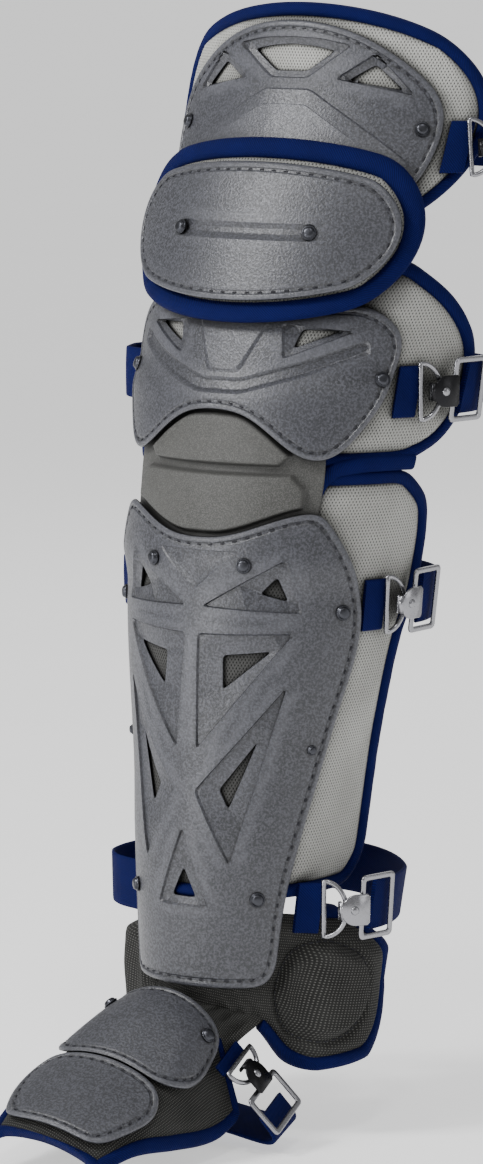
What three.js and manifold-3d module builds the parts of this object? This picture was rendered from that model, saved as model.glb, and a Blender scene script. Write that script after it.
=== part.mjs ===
// A catcher's leg guard for the left or right leg, shown as worn, in millimetres, +Z up.
// The shin faces -Y. Soft pads wrap the leg in a U that is open behind, where the straps close it.
import * as THREE from 'three';
import { mergeVertices } from 'three/addons/utils/BufferGeometryUtils.js';
import Module from 'manifold-3d';

const wasm = await Module();
wasm.setup();

// The leg that the pads wrap
const legHeight = 650;      // height of the top section over the ground
const thighRadius = 140;    // radius of the front of the thigh section
const leanBack = 110;       // how far the thigh's front lies behind the shin's
const shinFront = 68;       // the shin's front, ahead of the leg's middle line
const strapHandle = 66;     // how hard a strap holds on straight back before it turns across the calf

// Walls and clearances
const padThickness = 10;
const plateThickness = 4;
const bindingWidth = 6;
const kneeBindingWidth = 9.5;
const webbingThickness = 2.4;
const webbingWidth = 29;
const gap = 0.7;            // between pieces that lie on each other
const foamThickness = 2.6;  // moulded foam where the plates cover it
const foamGap = 1.1;        // between that foam and the plates over it
const foamPuff = 4;         // how far its two cushions stand out
const holeLip = 1.2;        // upright wall at the foot of a pocket's bevel
const cutReach = 6;         // how far a cutter passes a plate's inner face
const cutLift = 0.15;       // how far it stands over the outer face, as a share of the plate's half-width,
                            // so that its flat lid stays clear of the curve

// Plates: height of the lower edge, length, and half of the width along the curve
const shinPlateBottom = 106;
const shinPlateLength = 269;
const shinPlateHalf = 95;
const hornDip = 15;         // the shin plate's top edge between its two horns
const lowerKneePlateBottom = 402;
const lowerKneePlateLength = 87;
const lowerKneePlateHalf = 99;
const kneePlateBottom = 491;
const kneePlateLength = 76;
const kneePlateHalf = 83;
const thighPlateBottom = 545;
const thighPlateLength = 101;
const thighPlateHalf = 96;

// Pads: how far they reach past their plates, and half of the width
const shinPadBottom = 156;
const shinPadLength = 240;
const shinPadHalf = 138;
const lowerKneePadBottom = 399;
const lowerKneePadLength = 108;
const lowerKneePadHalf = 148;
const kneePadMargin = 3;
const thighPadMargin = 3;
const thighPadDrop = 21;    // thigh pad below its plate
const thighPadHalf = 116;
const foamBottom = 352;
const foamLength = 79;
const foamHalf = 66;

// Ankle wings
const ankleLength = 98;
const ankleHalf = 134;
const ankleRadius = 62;     // radius that distances round the ankle are measured on
const ankleDomeRadius = 27;
const ankleDomeHeight = 6;

// Foot flap, which comes forward over the instep and rolls a little outward
const footStart = 76;       // where it leaves the ankle, ahead of the middle line
const footReach = 114;      // how far forward it goes
const footHeight = 102;
const footRoll = THREE.MathUtils.degToRad(8);
const footLength = 130;     // along its slope
const footWidth = 34;       // half of its flat top
const footSideRadius = 24;  // bend at its sides
const footSideTurn = THREE.MathUtils.degToRad(64);
const footPadThickness = 5;
const footGap = 1.1;        // under the foot plates, where the flap bends both ways
const instepPlateStart = 4;
const instepPlateLength = 62;
const toePlateLength = 58;
const footPlateHalf = 50;

// Hardware
const ringWire = 1.4;
const ringDepth = 13;
const frameWidth = 26;
const frameBar = 3.2;
const frameThickness = 1.8;
const frameSlack = 2;       // its window over the webbing's width
const leafLength = 17;
const leafWidth = 18;
const leafThickness = 1.5;
const rivetRadius = 4.4;
const rivetHeight = 2.6;

// How the ankle flares: what it stands out from the shin's section, in ankleRadii, by share of half a turn
const ankleFlare = [
  { at: 0.00, out: 0.00 },
  { at: 0.36, out: 0.00 },
  { at: 0.40, out: 0.05 },
  { at: 0.45, out: 0.24 },
  { at: 0.56, out: 0.44 },
  { at: 0.70, out: 0.55 },
];

// The foot flap from ankle to toe, as shares of footLength: how far forward and how high its ridge is,
// then in footWidths the radius and the arc of its top, and half of its width round the section
const footSections = [
  { at: 0.00, forward: 0.00, height: 1.00, radius: 1.2, arc: 0.75, half: 2.45 },
  { at: 0.18, forward: 0.20, height: 0.93, radius: 1.4, arc: 0.80, half: 2.42 },
  { at: 0.52, forward: 0.52, height: 0.70, radius: 2.4, arc: 0.95, half: 1.82 },
  { at: 0.77, forward: 0.77, height: 0.545, radius: 3.2, arc: 0.90, half: 1.37 },
  { at: 1.00, forward: 1.00, height: 0.40, radius: 3.2, arc: 0.80, half: 1.09 },
];

// Sections of the leg: height, lean and radius as shares of legHeight, leanBack and thighRadius
const legSections = [
  { at: 0.154, lean: 0.00, radius: 0.36 },
  { at: 0.285, lean: 0.00, radius: 0.42 },
  { at: 0.346, lean: 0.03, radius: 0.46 },
  { at: 0.483, lean: 0.10, radius: 0.60 },
  { at: 0.577, lean: 0.20, radius: 0.64 },
  { at: 0.688, lean: 0.36, radius: 0.76 },
  { at: 0.738, lean: 0.47, radius: 0.81 },
  { at: 0.831, lean: 0.69, radius: 0.89 },
  { at: 0.923, lean: 0.93, radius: 1.00 },
  { at: 1.000, lean: 1.00, radius: 1.00 },
];

// Half-widths of the tapered pieces, as shares of the piece's length and of its greatest half-width
const shinPlateSides = [
  { at: 0.00, half: 0.48 },
  { at: 0.03, half: 0.54 },
  { at: 0.11, half: 0.57 },
  { at: 0.21, half: 0.62 },
  { at: 0.33, half: 0.71 },
  { at: 0.56, half: 0.88 },
  { at: 0.70, half: 0.99 },
  { at: 0.80, half: 1.00 },
  { at: 0.90, half: 0.89 },
  { at: 1.00, half: 0.70 },
];
const shinPadSides = [
  { at: 0.00, half: 0.80 },
  { at: 0.07, half: 0.90 },
  { at: 0.40, half: 0.91 },
  { at: 0.60, half: 0.93 },
  { at: 0.75, half: 1.00 },
  { at: 0.92, half: 0.99 },
  { at: 1.00, half: 0.84 },
];
const lowerKneePlateSides = [
  { at: 0.00, half: 0.83 },
  { at: 0.20, half: 0.92 },
  { at: 0.60, half: 1.00 },
  { at: 0.80, half: 0.97 },
  { at: 1.00, half: 0.76 },
];
const lowerKneePadSides = [
  { at: 0.00, half: 0.76 },
  { at: 0.10, half: 0.92 },
  { at: 0.28, half: 1.00 },
  { at: 0.55, half: 0.98 },
  { at: 0.80, half: 0.83 },
  { at: 1.00, half: 0.62 },
];
const thighPlateSides = [
  { at: 0.00, half: 0.88 },
  { at: 0.25, half: 0.96 },
  { at: 0.50, half: 1.00 },
  { at: 0.62, half: 0.95 },
  { at: 0.80, half: 0.75 },
  { at: 0.95, half: 0.52 },
  { at: 1.00, half: 0.42 },
];

// Lower edge of the lower-knee plate: two lobes beside a notch, as shares of its half-width and length
const lobeEdge = [
  { at: 0.00, rise: 0.33 },
  { at: 0.20, rise: 0.31 },
  { at: 0.36, rise: 0.22 },
  { at: 0.56, rise: 0.07 },
  { at: 0.72, rise: 0.00 },
  { at: 0.88, rise: 0.05 },
  { at: 1.00, rise: 0.20 },
];

// Pockets on the right half of each plate, as [across, up] shares of the plate's half-width and length.
// The mirrored ones are made by the same rows.
const shinPockets = [
  { rim: [[0.05, 0.80], [0.53, 0.905], [0.65, 0.79]], hole: [[0.40, 0.83], [0.49, 0.865], [0.56, 0.815]] },
  { rim: [[0.04, 0.745], [0.61, 0.75], [0.065, 0.50]], hole: [[0.20, 0.70], [0.48, 0.71], [0.21, 0.63]] },
  { rim: [[0.065, 0.415], [0.285, 0.26], [0.58, 0.64]], hole: [[0.21, 0.42], [0.27, 0.38], [0.42, 0.52]] },
];
const shinFootPocket = {
  rim: [[-0.17, 0.17], [0.17, 0.17], [0, 0.34]],
  hole: [[-0.08, 0.19], [0.08, 0.19], [0, 0.25]],
};
const thighPockets = [
  { rim: [[0.30, 0.67], [0.79, 0.58], [0.54, 0.82]], hole: [[0.38, 0.66], [0.71, 0.61], [0.54, 0.75]] },
];
const thighCrownPocket = {
  rim: [[-0.13, 0.67], [0.13, 0.67], [0.40, 0.87], [-0.40, 0.87]],
  hole: [[-0.11, 0.71], [0.11, 0.71], [0.28, 0.835], [-0.28, 0.835]],
};
const lowerKneePockets = [
  { rim: [[0.34, 0.65], [0.72, 0.83], [0.30, 0.88]], hole: [[0.39, 0.72], [0.64, 0.83], [0.42, 0.84]] },
];

// Rivets on each plate, in the same shares
const shinRivets = [
  { name: 'upper', across: 0.30, up: 0.89 },
  { name: 'side', across: 0.88, up: 0.79 },
  { name: 'low', across: 0.44, up: 0.19 },
];
const rivetSpots = { lowerKnee: [0.91, 0.53], knee: [0.46, 0.50], thigh: [0.86, 0.40], instep: [0.66, 0.17] };

const smooth = THREE.MathUtils.smoothstep;

// A smooth curve through a table's rows
function read(rows, column, at) {
  const last = rows.length - 1;
  if (at <= rows[0].at) return rows[0][column];
  if (at >= rows[last].at) return rows[last][column];
  const i = rows.findIndex((row) => row.at > at) - 1;
  const slope = (k) => {
    const before = rows[Math.max(k - 1, 0)];
    const after = rows[Math.min(k + 1, last)];
    return (after[column] - before[column]) / (after.at - before.at);
  };
  const span = rows[i + 1].at - rows[i].at;
  const t = (at - rows[i].at) / span;
  const bend = 1 - t;
  return rows[i][column] * (1 + 2 * t) * bend * bend
    + rows[i + 1][column] * (3 - 2 * t) * t * t
    + span * (slope(i) * t * bend * bend - slope(i + 1) * bend * t * t);
}

// A point on a wrap: an arc round the front, then straight back. d is the offset outward.
function wrapRound(u, z, d, front, radius) {
  const quarter = radius * Math.PI / 2;
  const distance = Math.abs(u);
  const turn = Math.min(distance, quarter) / radius;
  return new THREE.Vector3(
    (Math.sign(u) || 1) * (radius + d) * Math.sin(turn),
    front + radius - (radius + d) * Math.cos(turn) + Math.max(distance - quarter, 0),
    z,
  );
}

const frontAt = (z) => read(legSections, 'lean', z / legHeight) * leanBack - shinFront;
const radiusAt = (z) => read(legSections, 'radius', z / legHeight) * thighRadius;
const legWrap = (u, z, d) => wrapRound(u, z, d, frontAt(z), radiusAt(z));

// Round the ankle the radius grows towards the wings
function flareWrap(u, z, d) {
  const turn = Math.abs(u) / ankleRadius;
  const reach = radiusAt(z) + read(ankleFlare, 'out', turn / Math.PI) * ankleRadius;
  const centre = frontAt(z) + radiusAt(z);
  const side = Math.sign(u) || 1;
  return new THREE.Vector3(side * (reach + d) * Math.sin(turn), centre - (reach + d) * Math.cos(turn), z);
}

// The wings leave the shin's section below the shin pad and have their full flare at the ankle bones
function ankleWrap(u, z, d) {
  const flare = smooth(shinPadBottom - z, ankleLength * 0.05, ankleLength * 0.4);
  const shin = legWrap(u * radiusAt(z) / ankleRadius, z, d);
  return shin.lerp(flareWrap(u, z, d), flare);
}

// The foot flap: v runs forward down the slope, u runs across and down the sides
function footWrap(u, v, d) {
  const at = v / footLength;
  const ridge = (share) => new THREE.Vector3(
    0,
    -read(footSections, 'forward', share) * footReach,
    (read(footSections, 'height', share) - 1) * footHeight,
  );
  const step = 0.02;
  const along = ridge(Math.min(at + step, 1)).sub(ridge(Math.max(at - step, 0))).normalize();
  const radius = read(footSections, 'radius', at) * footWidth;
  const topTurn = read(footSections, 'arc', at) * footWidth / radius;
  const distance = Math.abs(u);
  const sideArc = footSideRadius * (footSideTurn - topTurn);
  const past = Math.max(distance - topTurn * radius - sideArc, 0);
  const top = Math.min(distance / radius, topTurn);
  const turn = Math.min(top + Math.max(distance - topTurn * radius, 0) / footSideRadius, footSideTurn);
  const across = radius * Math.sin(top) + footSideRadius * (Math.sin(turn) - Math.sin(top))
    + past * Math.cos(footSideTurn);
  const drop = radius * (1 - Math.cos(top)) + footSideRadius * (Math.cos(top) - Math.cos(turn))
    + past * Math.sin(footSideTurn);
  const side = Math.sign(u) || 1;
  return ridge(at).add(new THREE.Vector3(
    side * (across + d * Math.sin(turn)),
    along.z * d * Math.cos(turn),
    -drop - along.y * d * Math.cos(turn),
  ));
}

function meshOf(name, geometry, material) {
  const mesh = new THREE.Mesh(geometry, material.clone());
  mesh.name = name;
  return mesh;
}

function geometryFrom(points, faces) {
  const geometry = new THREE.BufferGeometry();
  geometry.setAttribute('position', new THREE.Float32BufferAttribute(points.flatMap((p) => p.toArray()), 3));
  geometry.setIndex(faces.flat());
  geometry.computeVertexNormals();
  return geometry;
}

// A patch holds the grid of (u, v) spots of a piece; the rounding draws its corners in
function patch({ columns, rows, half, bottom, top, sides, rounding = 0 }) {
  const spots = [];
  for (let j = 0; j <= rows; j += 1) {
    for (let i = 0; i <= columns; i += 1) {
      const across = 2 * i / columns - 1;
      const up = 2 * j / rows - 1;
      const s = across * Math.sqrt(1 - rounding * up * up / 2);
      const t = (1 + up * Math.sqrt(1 - rounding * across * across / 2)) / 2;
      const width = sides ? read(sides, 'half', t) : 1;
      const low = typeof bottom === 'function' ? bottom(s) : bottom;
      const high = typeof top === 'function' ? top(s) : top;
      spots.push({ u: s * width * half, v: low + t * (high - low), s, t });
    }
  }
  return { columns, rows, spots };
}

// A closed wall between two offsets over a patch
function wall(grid, wrap, inner, outer) {
  const offset = (value, spot) => (typeof value === 'function' ? value(spot) : value);
  const points = [inner, outer].flatMap(
    (value) => grid.spots.map((spot) => wrap(spot.u, spot.v, offset(value, spot))),
  );
  const count = grid.spots.length;
  const line = grid.columns + 1;
  const faces = [];
  for (let j = 0; j < grid.rows; j += 1) {
    for (let i = 0; i < grid.columns; i += 1) {
      const a = j * line + i;
      const quad = [a, a + 1, a + line + 1, a + line];
      faces.push([quad[0], quad[2], quad[1]], [quad[0], quad[3], quad[2]]);
      const [p, q, r, s] = quad.map((k) => k + count);
      faces.push([p, q, r], [p, r, s]);
    }
  }
  const loop = borderOf(grid);
  loop.forEach((a, k) => {
    const b = loop[(k + 1) % loop.length];
    faces.push([a, b, b + count], [a, b + count, a + count]);
  });
  return geometryFrom(points, faces);
}

// Border indices of a patch, anticlockwise seen from outside the leg
function borderOf({ columns, rows }) {
  const line = columns + 1;
  const loop = [];
  for (let i = 0; i < columns; i += 1) loop.push(i);
  for (let j = 0; j < rows; j += 1) loop.push(j * line + columns);
  for (let i = columns; i > 0; i -= 1) loop.push(rows * line + i);
  for (let j = rows; j > 0; j -= 1) loop.push(j * line);
  return loop;
}

// A tube of oval rings, capped at both ends unless it closes on itself
function tube(rings, closed) {
  const sides = rings[0].length;
  const faces = [];
  for (let k = 0; k < rings.length - (closed ? 0 : 1); k += 1) {
    const next = (k + 1) % rings.length;
    for (let i = 0; i < sides; i += 1) {
      const j = (i + 1) % sides;
      const [a, b, c, d] = [k * sides + i, next * sides + i, next * sides + j, k * sides + j];
      faces.push([a, b, c], [a, c, d]);
    }
  }
  if (!closed) {
    const last = (rings.length - 1) * sides;
    for (let i = 1; i < sides - 1; i += 1) faces.push([0, i, i + 1], [last, last + i + 1, last + i]);
  }
  return geometryFrom(rings.flat(), faces);
}

// The folded edge binding: an oval tube along the border of a pad, or along the run of it that is kept
function binding(grid, wrap, width, depth, middle, keep) {
  const sides = 5;
  const border = borderOf(grid).map((k) => grid.spots[k]);
  const count = border.length;
  const first = keep ? border.findIndex((spot, k) => keep(spot) && !keep(border[(k + count - 1) % count])) : 0;
  const loop = [...border.slice(first), ...border.slice(0, first)];
  const run = keep ? loop.slice(0, loop.findIndex((spot) => !keep(spot))) : loop;
  const rings = run.map((spot, k) => {
    const before = loop[(k + count - 1) % count];
    const after = loop[(k + 1) % count];
    const along = new THREE.Vector2(after.u - before.u, after.v - before.v).normalize();
    return Array.from({ length: sides }, (_, i) => {
      const turn = 2 * Math.PI * i / sides;
      const reach = gap + width / 2 * (1 + Math.cos(turn));
      return wrap(spot.u + along.y * reach, spot.v - along.x * reach, middle + depth / 2 * Math.sin(turn));
    });
  });
  return tube(rings, !keep);
}

// Booleans
function solidOf(geometry) {
  const bare = geometry.clone();
  bare.deleteAttribute('normal');
  if (bare.hasAttribute('uv')) bare.deleteAttribute('uv');
  const merged = mergeVertices(bare, 1e-4);
  return new wasm.Manifold(new wasm.Mesh({
    numProp: 3,
    vertProperties: new Float32Array(merged.attributes.position.array),
    triVerts: new Uint32Array(merged.index.array),
  }));
}

function geometryOf(solid) {
  const { vertProperties, triVerts } = solid.getMesh();
  const geometry = new THREE.BufferGeometry();
  geometry.setAttribute('position', new THREE.Float32BufferAttribute(vertProperties, 3));
  geometry.setIndex(Array.from(triVerts));
  geometry.computeVertexNormals();
  return geometry;
}

// A bevelled pocket: the rim at the plate's face narrows to the hole, which goes through
function pocketSolid({ rim, hole }, wrap, base, length, half, face) {
  const steps = 2;
  const spread = (corners) => corners.flatMap(([across, up], k) => {
    const [nextAcross, nextUp] = corners[(k + 1) % corners.length];
    return Array.from({ length: steps }, (_, i) => new THREE.Vector2(
      THREE.MathUtils.lerp(across, nextAcross, i / steps) * half,
      base + THREE.MathUtils.lerp(up, nextUp, i / steps) * length,
    ));
  });
  const turned = THREE.ShapeUtils.isClockWise(spread(rim));
  const order = (corners) => (turned ? [...corners].reverse() : corners);
  const [rimLoop, holeLoop] = [spread(order(rim)), spread(order(hole))];
  const rings = [
    [holeLoop, face - plateThickness - cutReach],
    [holeLoop, face - plateThickness + holeLip],
    [rimLoop, face],
    [rimLoop, face + cutLift * half],
  ];
  const count = rimLoop.length;
  const points = rings.flatMap(([loop, d]) => loop.map((p) => wrap(p.x, p.y, d)));
  const faces = [];
  for (let r = 0; r < rings.length - 1; r += 1) {
    for (let i = 0; i < count; i += 1) {
      const [a, b] = [r * count + i, r * count + (i + 1) % count];
      faces.push([a, b, b + count], [a, b + count, a + count]);
    }
  }
  THREE.ShapeUtils.triangulateShape(holeLoop, []).forEach(([a, b, c]) => faces.push([c, b, a]));
  const last = (rings.length - 1) * count;
  THREE.ShapeUtils.triangulateShape(rimLoop, []).forEach((corners) => faces.push(corners.map((k) => k + last)));
  return solidOf(geometryFrom(points, faces));
}

const mirrored = ({ rim, hole }) => ({
  rim: rim.map(([across, up]) => [-across, up]),
  hole: hole.map(([across, up]) => [-across, up]),
});

// Materials
const finish = (color, roughness, metalness = 0) => new THREE.MeshStandardMaterial({ color, roughness, metalness });
const graphite = finish(0x5c5d63, 0.42);
const mesh = finish(0xa5a5a0, 0.9);
const navy = finish(0x051669, 0.8);
const foamGrey = finish(0x6e6e6a, 0.7);
const charcoal = finish(0x2d2d2b, 0.85);
const nickel = finish(0xc4c4c8, 0.22, 1);
const blackSteel = finish(0x17171a, 0.3, 0.6);
const rivetSteel = finish(0x3a3b40, 0.3, 0.8);

// Heights of the layers over the pads' outer face
const plateFace = gap + plateThickness;
const foamTop = foamBottom + foamLength;
const foamFace = gap + foamThickness;
const kneePadInner = plateFace + gap;
const kneePadFace = kneePadInner + padThickness;
const kneePlateFace = kneePadFace + plateFace;

// The shin and lower-knee plates step out over the foam between them, in foamLengths past its two ends
const stepBelow = { start: 0.35, end: 0.05 };
const stepAbove = { start: 0.04, end: 0.30 };
const overFoam = (v) => (foamThickness + foamGap)
  * smooth(v, foamBottom - foamLength * stepBelow.start, foamBottom - foamLength * stepBelow.end)
  * (1 - smooth(v, foamTop + foamLength * stepAbove.start, foamTop + foamLength * stepAbove.end));

const leg = new THREE.Group();

function addPad(name, grid, inner, width) {
  const face = inner + padThickness;
  leg.add(meshOf(`${name}_pad`, wall(grid, legWrap, inner, face), mesh));
  leg.add(meshOf(`${name}_binding`, binding(grid, legWrap, width, padThickness, (inner + face) / 2), navy));
}

function addPlate(name, grid, lift, pockets, base, length, half, face) {
  const inner = (spot) => face - plateThickness + lift(spot.v);
  const outer = (spot) => face + lift(spot.v);
  const lifted = (u, v, d) => legWrap(u, v, d + lift(v));
  const plate = pockets.reduce(
    (solid, pocket) => solid.subtract(pocketSolid(pocket, lifted, base, length, half, face)),
    solidOf(wall(grid, legWrap, inner, outer)),
  );
  leg.add(meshOf(name, geometryOf(plate), graphite));
}

// Where something lies on a wrap: its place, with x along the wrap, y up it and z out of it
function seatOn(object, wrap, u, v, d) {
  const step = 0.5;
  const along = wrap(u + step, v, d).sub(wrap(u - step, v, d)).normalize();
  const up = wrap(u, v + step, d).sub(wrap(u, v - step, d));
  const out = new THREE.Vector3().crossVectors(along, up).normalize();
  up.crossVectors(out, along);
  object.quaternion.setFromRotationMatrix(new THREE.Matrix4().makeBasis(along, up, out));
  object.position.copy(wrap(u, v, d));
}

function rivet(name) {
  const profile = [[0, 0], [1, 0], [0.8, 0.7], [0, 1]];
  const points = profile.map(([r, h]) => new THREE.Vector2(r * rivetRadius, h * rivetHeight));
  const geometry = new THREE.LatheGeometry(points, 8);
  geometry.rotateX(Math.PI / 2);
  return meshOf(name, geometry, rivetSteel);
}

function addRivets(plate, across, up, wrap, base, length, half, face, group = leg, label = '') {
  [['left', -1], ['right', 1]].forEach(([side, sign]) => {
    const dome = rivet(`${plate}_rivet_${label}${side}`);
    seatOn(dome, wrap, sign * across * half, base + up * length, face + gap);
    group.add(dome);
  });
}

// Thigh
const thighPadGrid = patch({
  columns: 14, rows: 6, half: thighPadHalf, rounding: 0.8,
  bottom: thighPlateBottom - thighPadDrop, top: thighPlateBottom + thighPlateLength + thighPadMargin,
});
addPad('thigh', thighPadGrid, -padThickness, bindingWidth);
const thighPlateGrid = patch({
  columns: 14, rows: 7, half: thighPlateHalf, sides: thighPlateSides,
  bottom: thighPlateBottom, top: thighPlateBottom + thighPlateLength,
});
const flat = () => 0;
addPlate('thigh_plate', thighPlateGrid, flat, [...thighPockets, ...thighPockets.map(mirrored), thighCrownPocket],
  thighPlateBottom, thighPlateLength, thighPlateHalf, plateFace);
addRivets('thigh', ...rivetSpots.thigh, legWrap, thighPlateBottom, thighPlateLength, thighPlateHalf, plateFace);

// Knee cap, which stands over the thigh plate and the lower-knee plate
const kneePadGrid = patch({
  columns: 14, rows: 6, half: kneePlateHalf + kneePadMargin, rounding: 0.8,
  bottom: kneePlateBottom - kneePadMargin, top: kneePlateBottom + kneePlateLength + kneePadMargin,
});
addPad('knee', kneePadGrid, kneePadInner, kneeBindingWidth);
const kneePlateGrid = patch({
  columns: 14, rows: 6, half: kneePlateHalf, rounding: 0.8,
  bottom: kneePlateBottom, top: kneePlateBottom + kneePlateLength,
});
addPlate('knee_plate', kneePlateGrid, flat, [], kneePlateBottom, kneePlateLength, kneePlateHalf, kneePlateFace);
addRivets('knee', ...rivetSpots.knee, legWrap, kneePlateBottom, kneePlateLength, kneePlateHalf, kneePlateFace);

// Lower knee
const lowerKneePadGrid = patch({
  columns: 18, rows: 5, half: lowerKneePadHalf, sides: lowerKneePadSides,
  bottom: lowerKneePadBottom + bindingWidth, top: lowerKneePadBottom + lowerKneePadLength,
});
addPad('lower_knee', lowerKneePadGrid, -padThickness, bindingWidth);
const lobesAt = (s) => lowerKneePlateBottom + read(lobeEdge, 'rise', Math.abs(s)) * lowerKneePlateLength;
const lowerKneePlateGrid = patch({
  columns: 18, rows: 6, half: lowerKneePlateHalf, sides: lowerKneePlateSides,
  bottom: lobesAt, top: lowerKneePlateBottom + lowerKneePlateLength,
});
addPlate('lower_knee_plate', lowerKneePlateGrid, overFoam, [...lowerKneePockets, ...lowerKneePockets.map(mirrored)],
  lowerKneePlateBottom, lowerKneePlateLength, lowerKneePlateHalf, plateFace);
const overFoamWrap = (u, v, d) => legWrap(u, v, d + overFoam(v));
addRivets('lower_knee', ...rivetSpots.lowerKnee, overFoamWrap,
  lowerKneePlateBottom, lowerKneePlateLength, lowerKneePlateHalf, plateFace);

// Flexible foam between the lower knee and the shin, with two raised cushions
// The upper one fills the notch of the lower-knee plate, the lower one lies over the shin plate's top edge.
const lobesHalf = 0.85 * lowerKneePlateHalf;  // half-width of the lower-knee plate along its lobes
const hornsHalf = 0.7 * shinPlateHalf;        // half-width of the shin plate at its top edge
const hornsAt = (s) => shinPlateBottom + shinPlateLength - hornDip * (1 - smooth(Math.abs(s), 0.1, 0.95));
const notchEdge = (u) => lobesAt(Math.min(Math.abs(u) / lobesHalf, 1));
const shinTopEdge = (u) => hornsAt(u / hornsHalf);
const creaseAt = 0.58;                        // between the cushions, as a share of foamLength
const upperCushionHalf = 0.74 * foamHalf;
const lowerCushionHalf = 0.84 * foamHalf;
const foamCrease = foamBottom + creaseAt * foamLength;
const creaseHalf = 2;
const edgeStart = 9;
const edgeEnd = 12;
const foamGrid = patch({ columns: 16, rows: 11, half: foamHalf, rounding: 0.3, bottom: foamBottom, top: foamTop });
const within = (u, half) => 1 - smooth(Math.abs(u), half - edgeEnd, half);
const upperCushion = ({ u, v }) => smooth(notchEdge(u) - v, edgeStart, edgeEnd)
  * smooth(v - foamCrease, creaseHalf, edgeEnd) * within(u, upperCushionHalf);
const lowerCushion = ({ u, v }) => smooth(v - shinTopEdge(u), edgeStart, edgeEnd)
  * smooth(foamCrease - v, creaseHalf, edgeEnd) * within(u, lowerCushionHalf);
const foamOuter = (spot) => foamFace + foamPuff * Math.max(upperCushion(spot), lowerCushion(spot));
leg.add(meshOf('flex_foam', wall(foamGrid, legWrap, gap, foamOuter), foamGrey));

// Shin
const shinPadGrid = patch({
  columns: 16, rows: 9, half: shinPadHalf, sides: shinPadSides,
  bottom: shinPadBottom + bindingWidth, top: shinPadBottom + shinPadLength - bindingWidth,
});
addPad('shin', shinPadGrid, -padThickness, bindingWidth);
const shinPlateGrid = patch({
  columns: 16, rows: 12, half: shinPlateHalf, sides: shinPlateSides, bottom: shinPlateBottom,
  top: hornsAt,
});
addPlate('shin_plate', shinPlateGrid, overFoam, [...shinPockets, ...shinPockets.map(mirrored), shinFootPocket],
  shinPlateBottom, shinPlateLength, shinPlateHalf, plateFace);
shinRivets.forEach(({ name, across, up }) => addRivets('shin', across, up, overFoamWrap,
  shinPlateBottom, shinPlateLength, shinPlateHalf, plateFace, leg, `${name}_`));

// Ankle, with a round cushion over each ankle bone
const domeAcross = 0.667;   // share of ankleHalf
const domeDrop = 0.555;     // its middle under the shin pad, as a share of ankleLength
const domeHeight = shinPadBottom - domeDrop * ankleLength;
const domeStretch = 1.2;    // the flare is this much longer than the radius that u is measured on
const frontRise = 0.3;      // how much shorter the pad is over the instep, as a share of ankleLength
const wingsFrom = 0.36;     // shares of the half-width where the wings begin and have their full length
const wingsFull = 0.66;
const anklePadGrid = patch({
  columns: 24, rows: 7, half: ankleHalf, rounding: 0.6,
  bottom: (s) => shinPadBottom - ankleLength * (1 - frontRise * (1 - smooth(Math.abs(s), wingsFrom, wingsFull))),
  top: shinPadBottom - bindingWidth - 3 * gap,
});
const ankleFace = ({ u, v }) => {
  const reach = Math.hypot((Math.abs(u) - domeAcross * ankleHalf) * domeStretch, v - domeHeight) / ankleDomeRadius;
  return ankleDomeHeight * (1 - smooth(reach, 0.6, 1));
};
leg.add(meshOf('ankle_pad', wall(anklePadGrid, ankleWrap, -padThickness, ankleFace), charcoal));
const notchHalf = 0.42 * ankleHalf;
[['left', -1], ['right', 1]].forEach(([side, sign]) => {
  const onWing = ({ u, s, t }) => sign * u > notchHalf && (t < 0.5 || Math.abs(s) > 0.75) && t < 0.97;
  const edge = binding(anklePadGrid, ankleWrap, bindingWidth, padThickness, -padThickness / 2, onWing);
  leg.add(meshOf(`ankle_binding_${side}`, edge, navy));
});

// Foot flap
const foot = new THREE.Group();
foot.position.set(0, -footStart, footHeight);
foot.rotation.y = footRoll;

// How far round the section the flap's lower edge lies
const footEdge = (v) => read(footSections, 'half', v / footLength) * footWidth;
const footPadGrid = patch({ columns: 14, rows: 8, half: 1, bottom: 0, top: footLength, rounding: 0.2 });
footPadGrid.spots.forEach((spot) => {
  spot.u = spot.s * footEdge(spot.v);
});
const footTurned = (u, v, d) => footWrap(-u, v, d);
foot.add(meshOf('foot_pad', wall(footPadGrid, footTurned, -footPadThickness, 0), charcoal));
const offAnkle = ({ u, t }) => Math.abs(u) > footWidth * 1.1 || t > 0.5;
foot.add(meshOf(
  'foot_binding',
  binding(footPadGrid, footTurned, bindingWidth, footPadThickness, -footPadThickness / 2, offAnkle),
  navy,
));

// Half-widths of the two foot plates from back to front, as shares of footPlateHalf
const instepSides = [{ at: 0, half: 0.80 }, { at: 0.35, half: 1.0 }, { at: 0.75, half: 0.90 }, { at: 1, half: 0.68 }];
const toeSides = [{ at: 0, half: 0.72 }, { at: 0.25, half: 0.88 }, { at: 0.65, half: 0.78 }, { at: 1, half: 0.62 }];
[
  ['instep_plate', instepPlateStart, instepPlateLength, instepSides],
  ['toe_plate', instepPlateStart + instepPlateLength + gap, toePlateLength, toeSides],
].forEach(([name, start, length, sides]) => {
  const grid = patch({ columns: 12, rows: 5, half: footPlateHalf, sides, bottom: start, top: start + length });
  foot.add(meshOf(name, wall(grid, footTurned, footGap, footGap + plateThickness), graphite));
});
addRivets('instep', ...rivetSpots.instep, footTurned, instepPlateStart, instepPlateLength, footPlateHalf,
  footGap + plateThickness, foot);

// Webbing straps with their hardware
function band(from, to, middle, low, steps, wrap) {
  const grid = patch({
    columns: steps, rows: 2, half: 1, bottom: middle - webbingWidth / 2, top: middle + webbingWidth / 2,
  });
  grid.spots.forEach((spot) => {
    spot.u = THREE.MathUtils.lerp(from, to, (spot.s + 1) / 2);
  });
  return wall(grid, wrap, low, low + webbingThickness);
}

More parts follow.
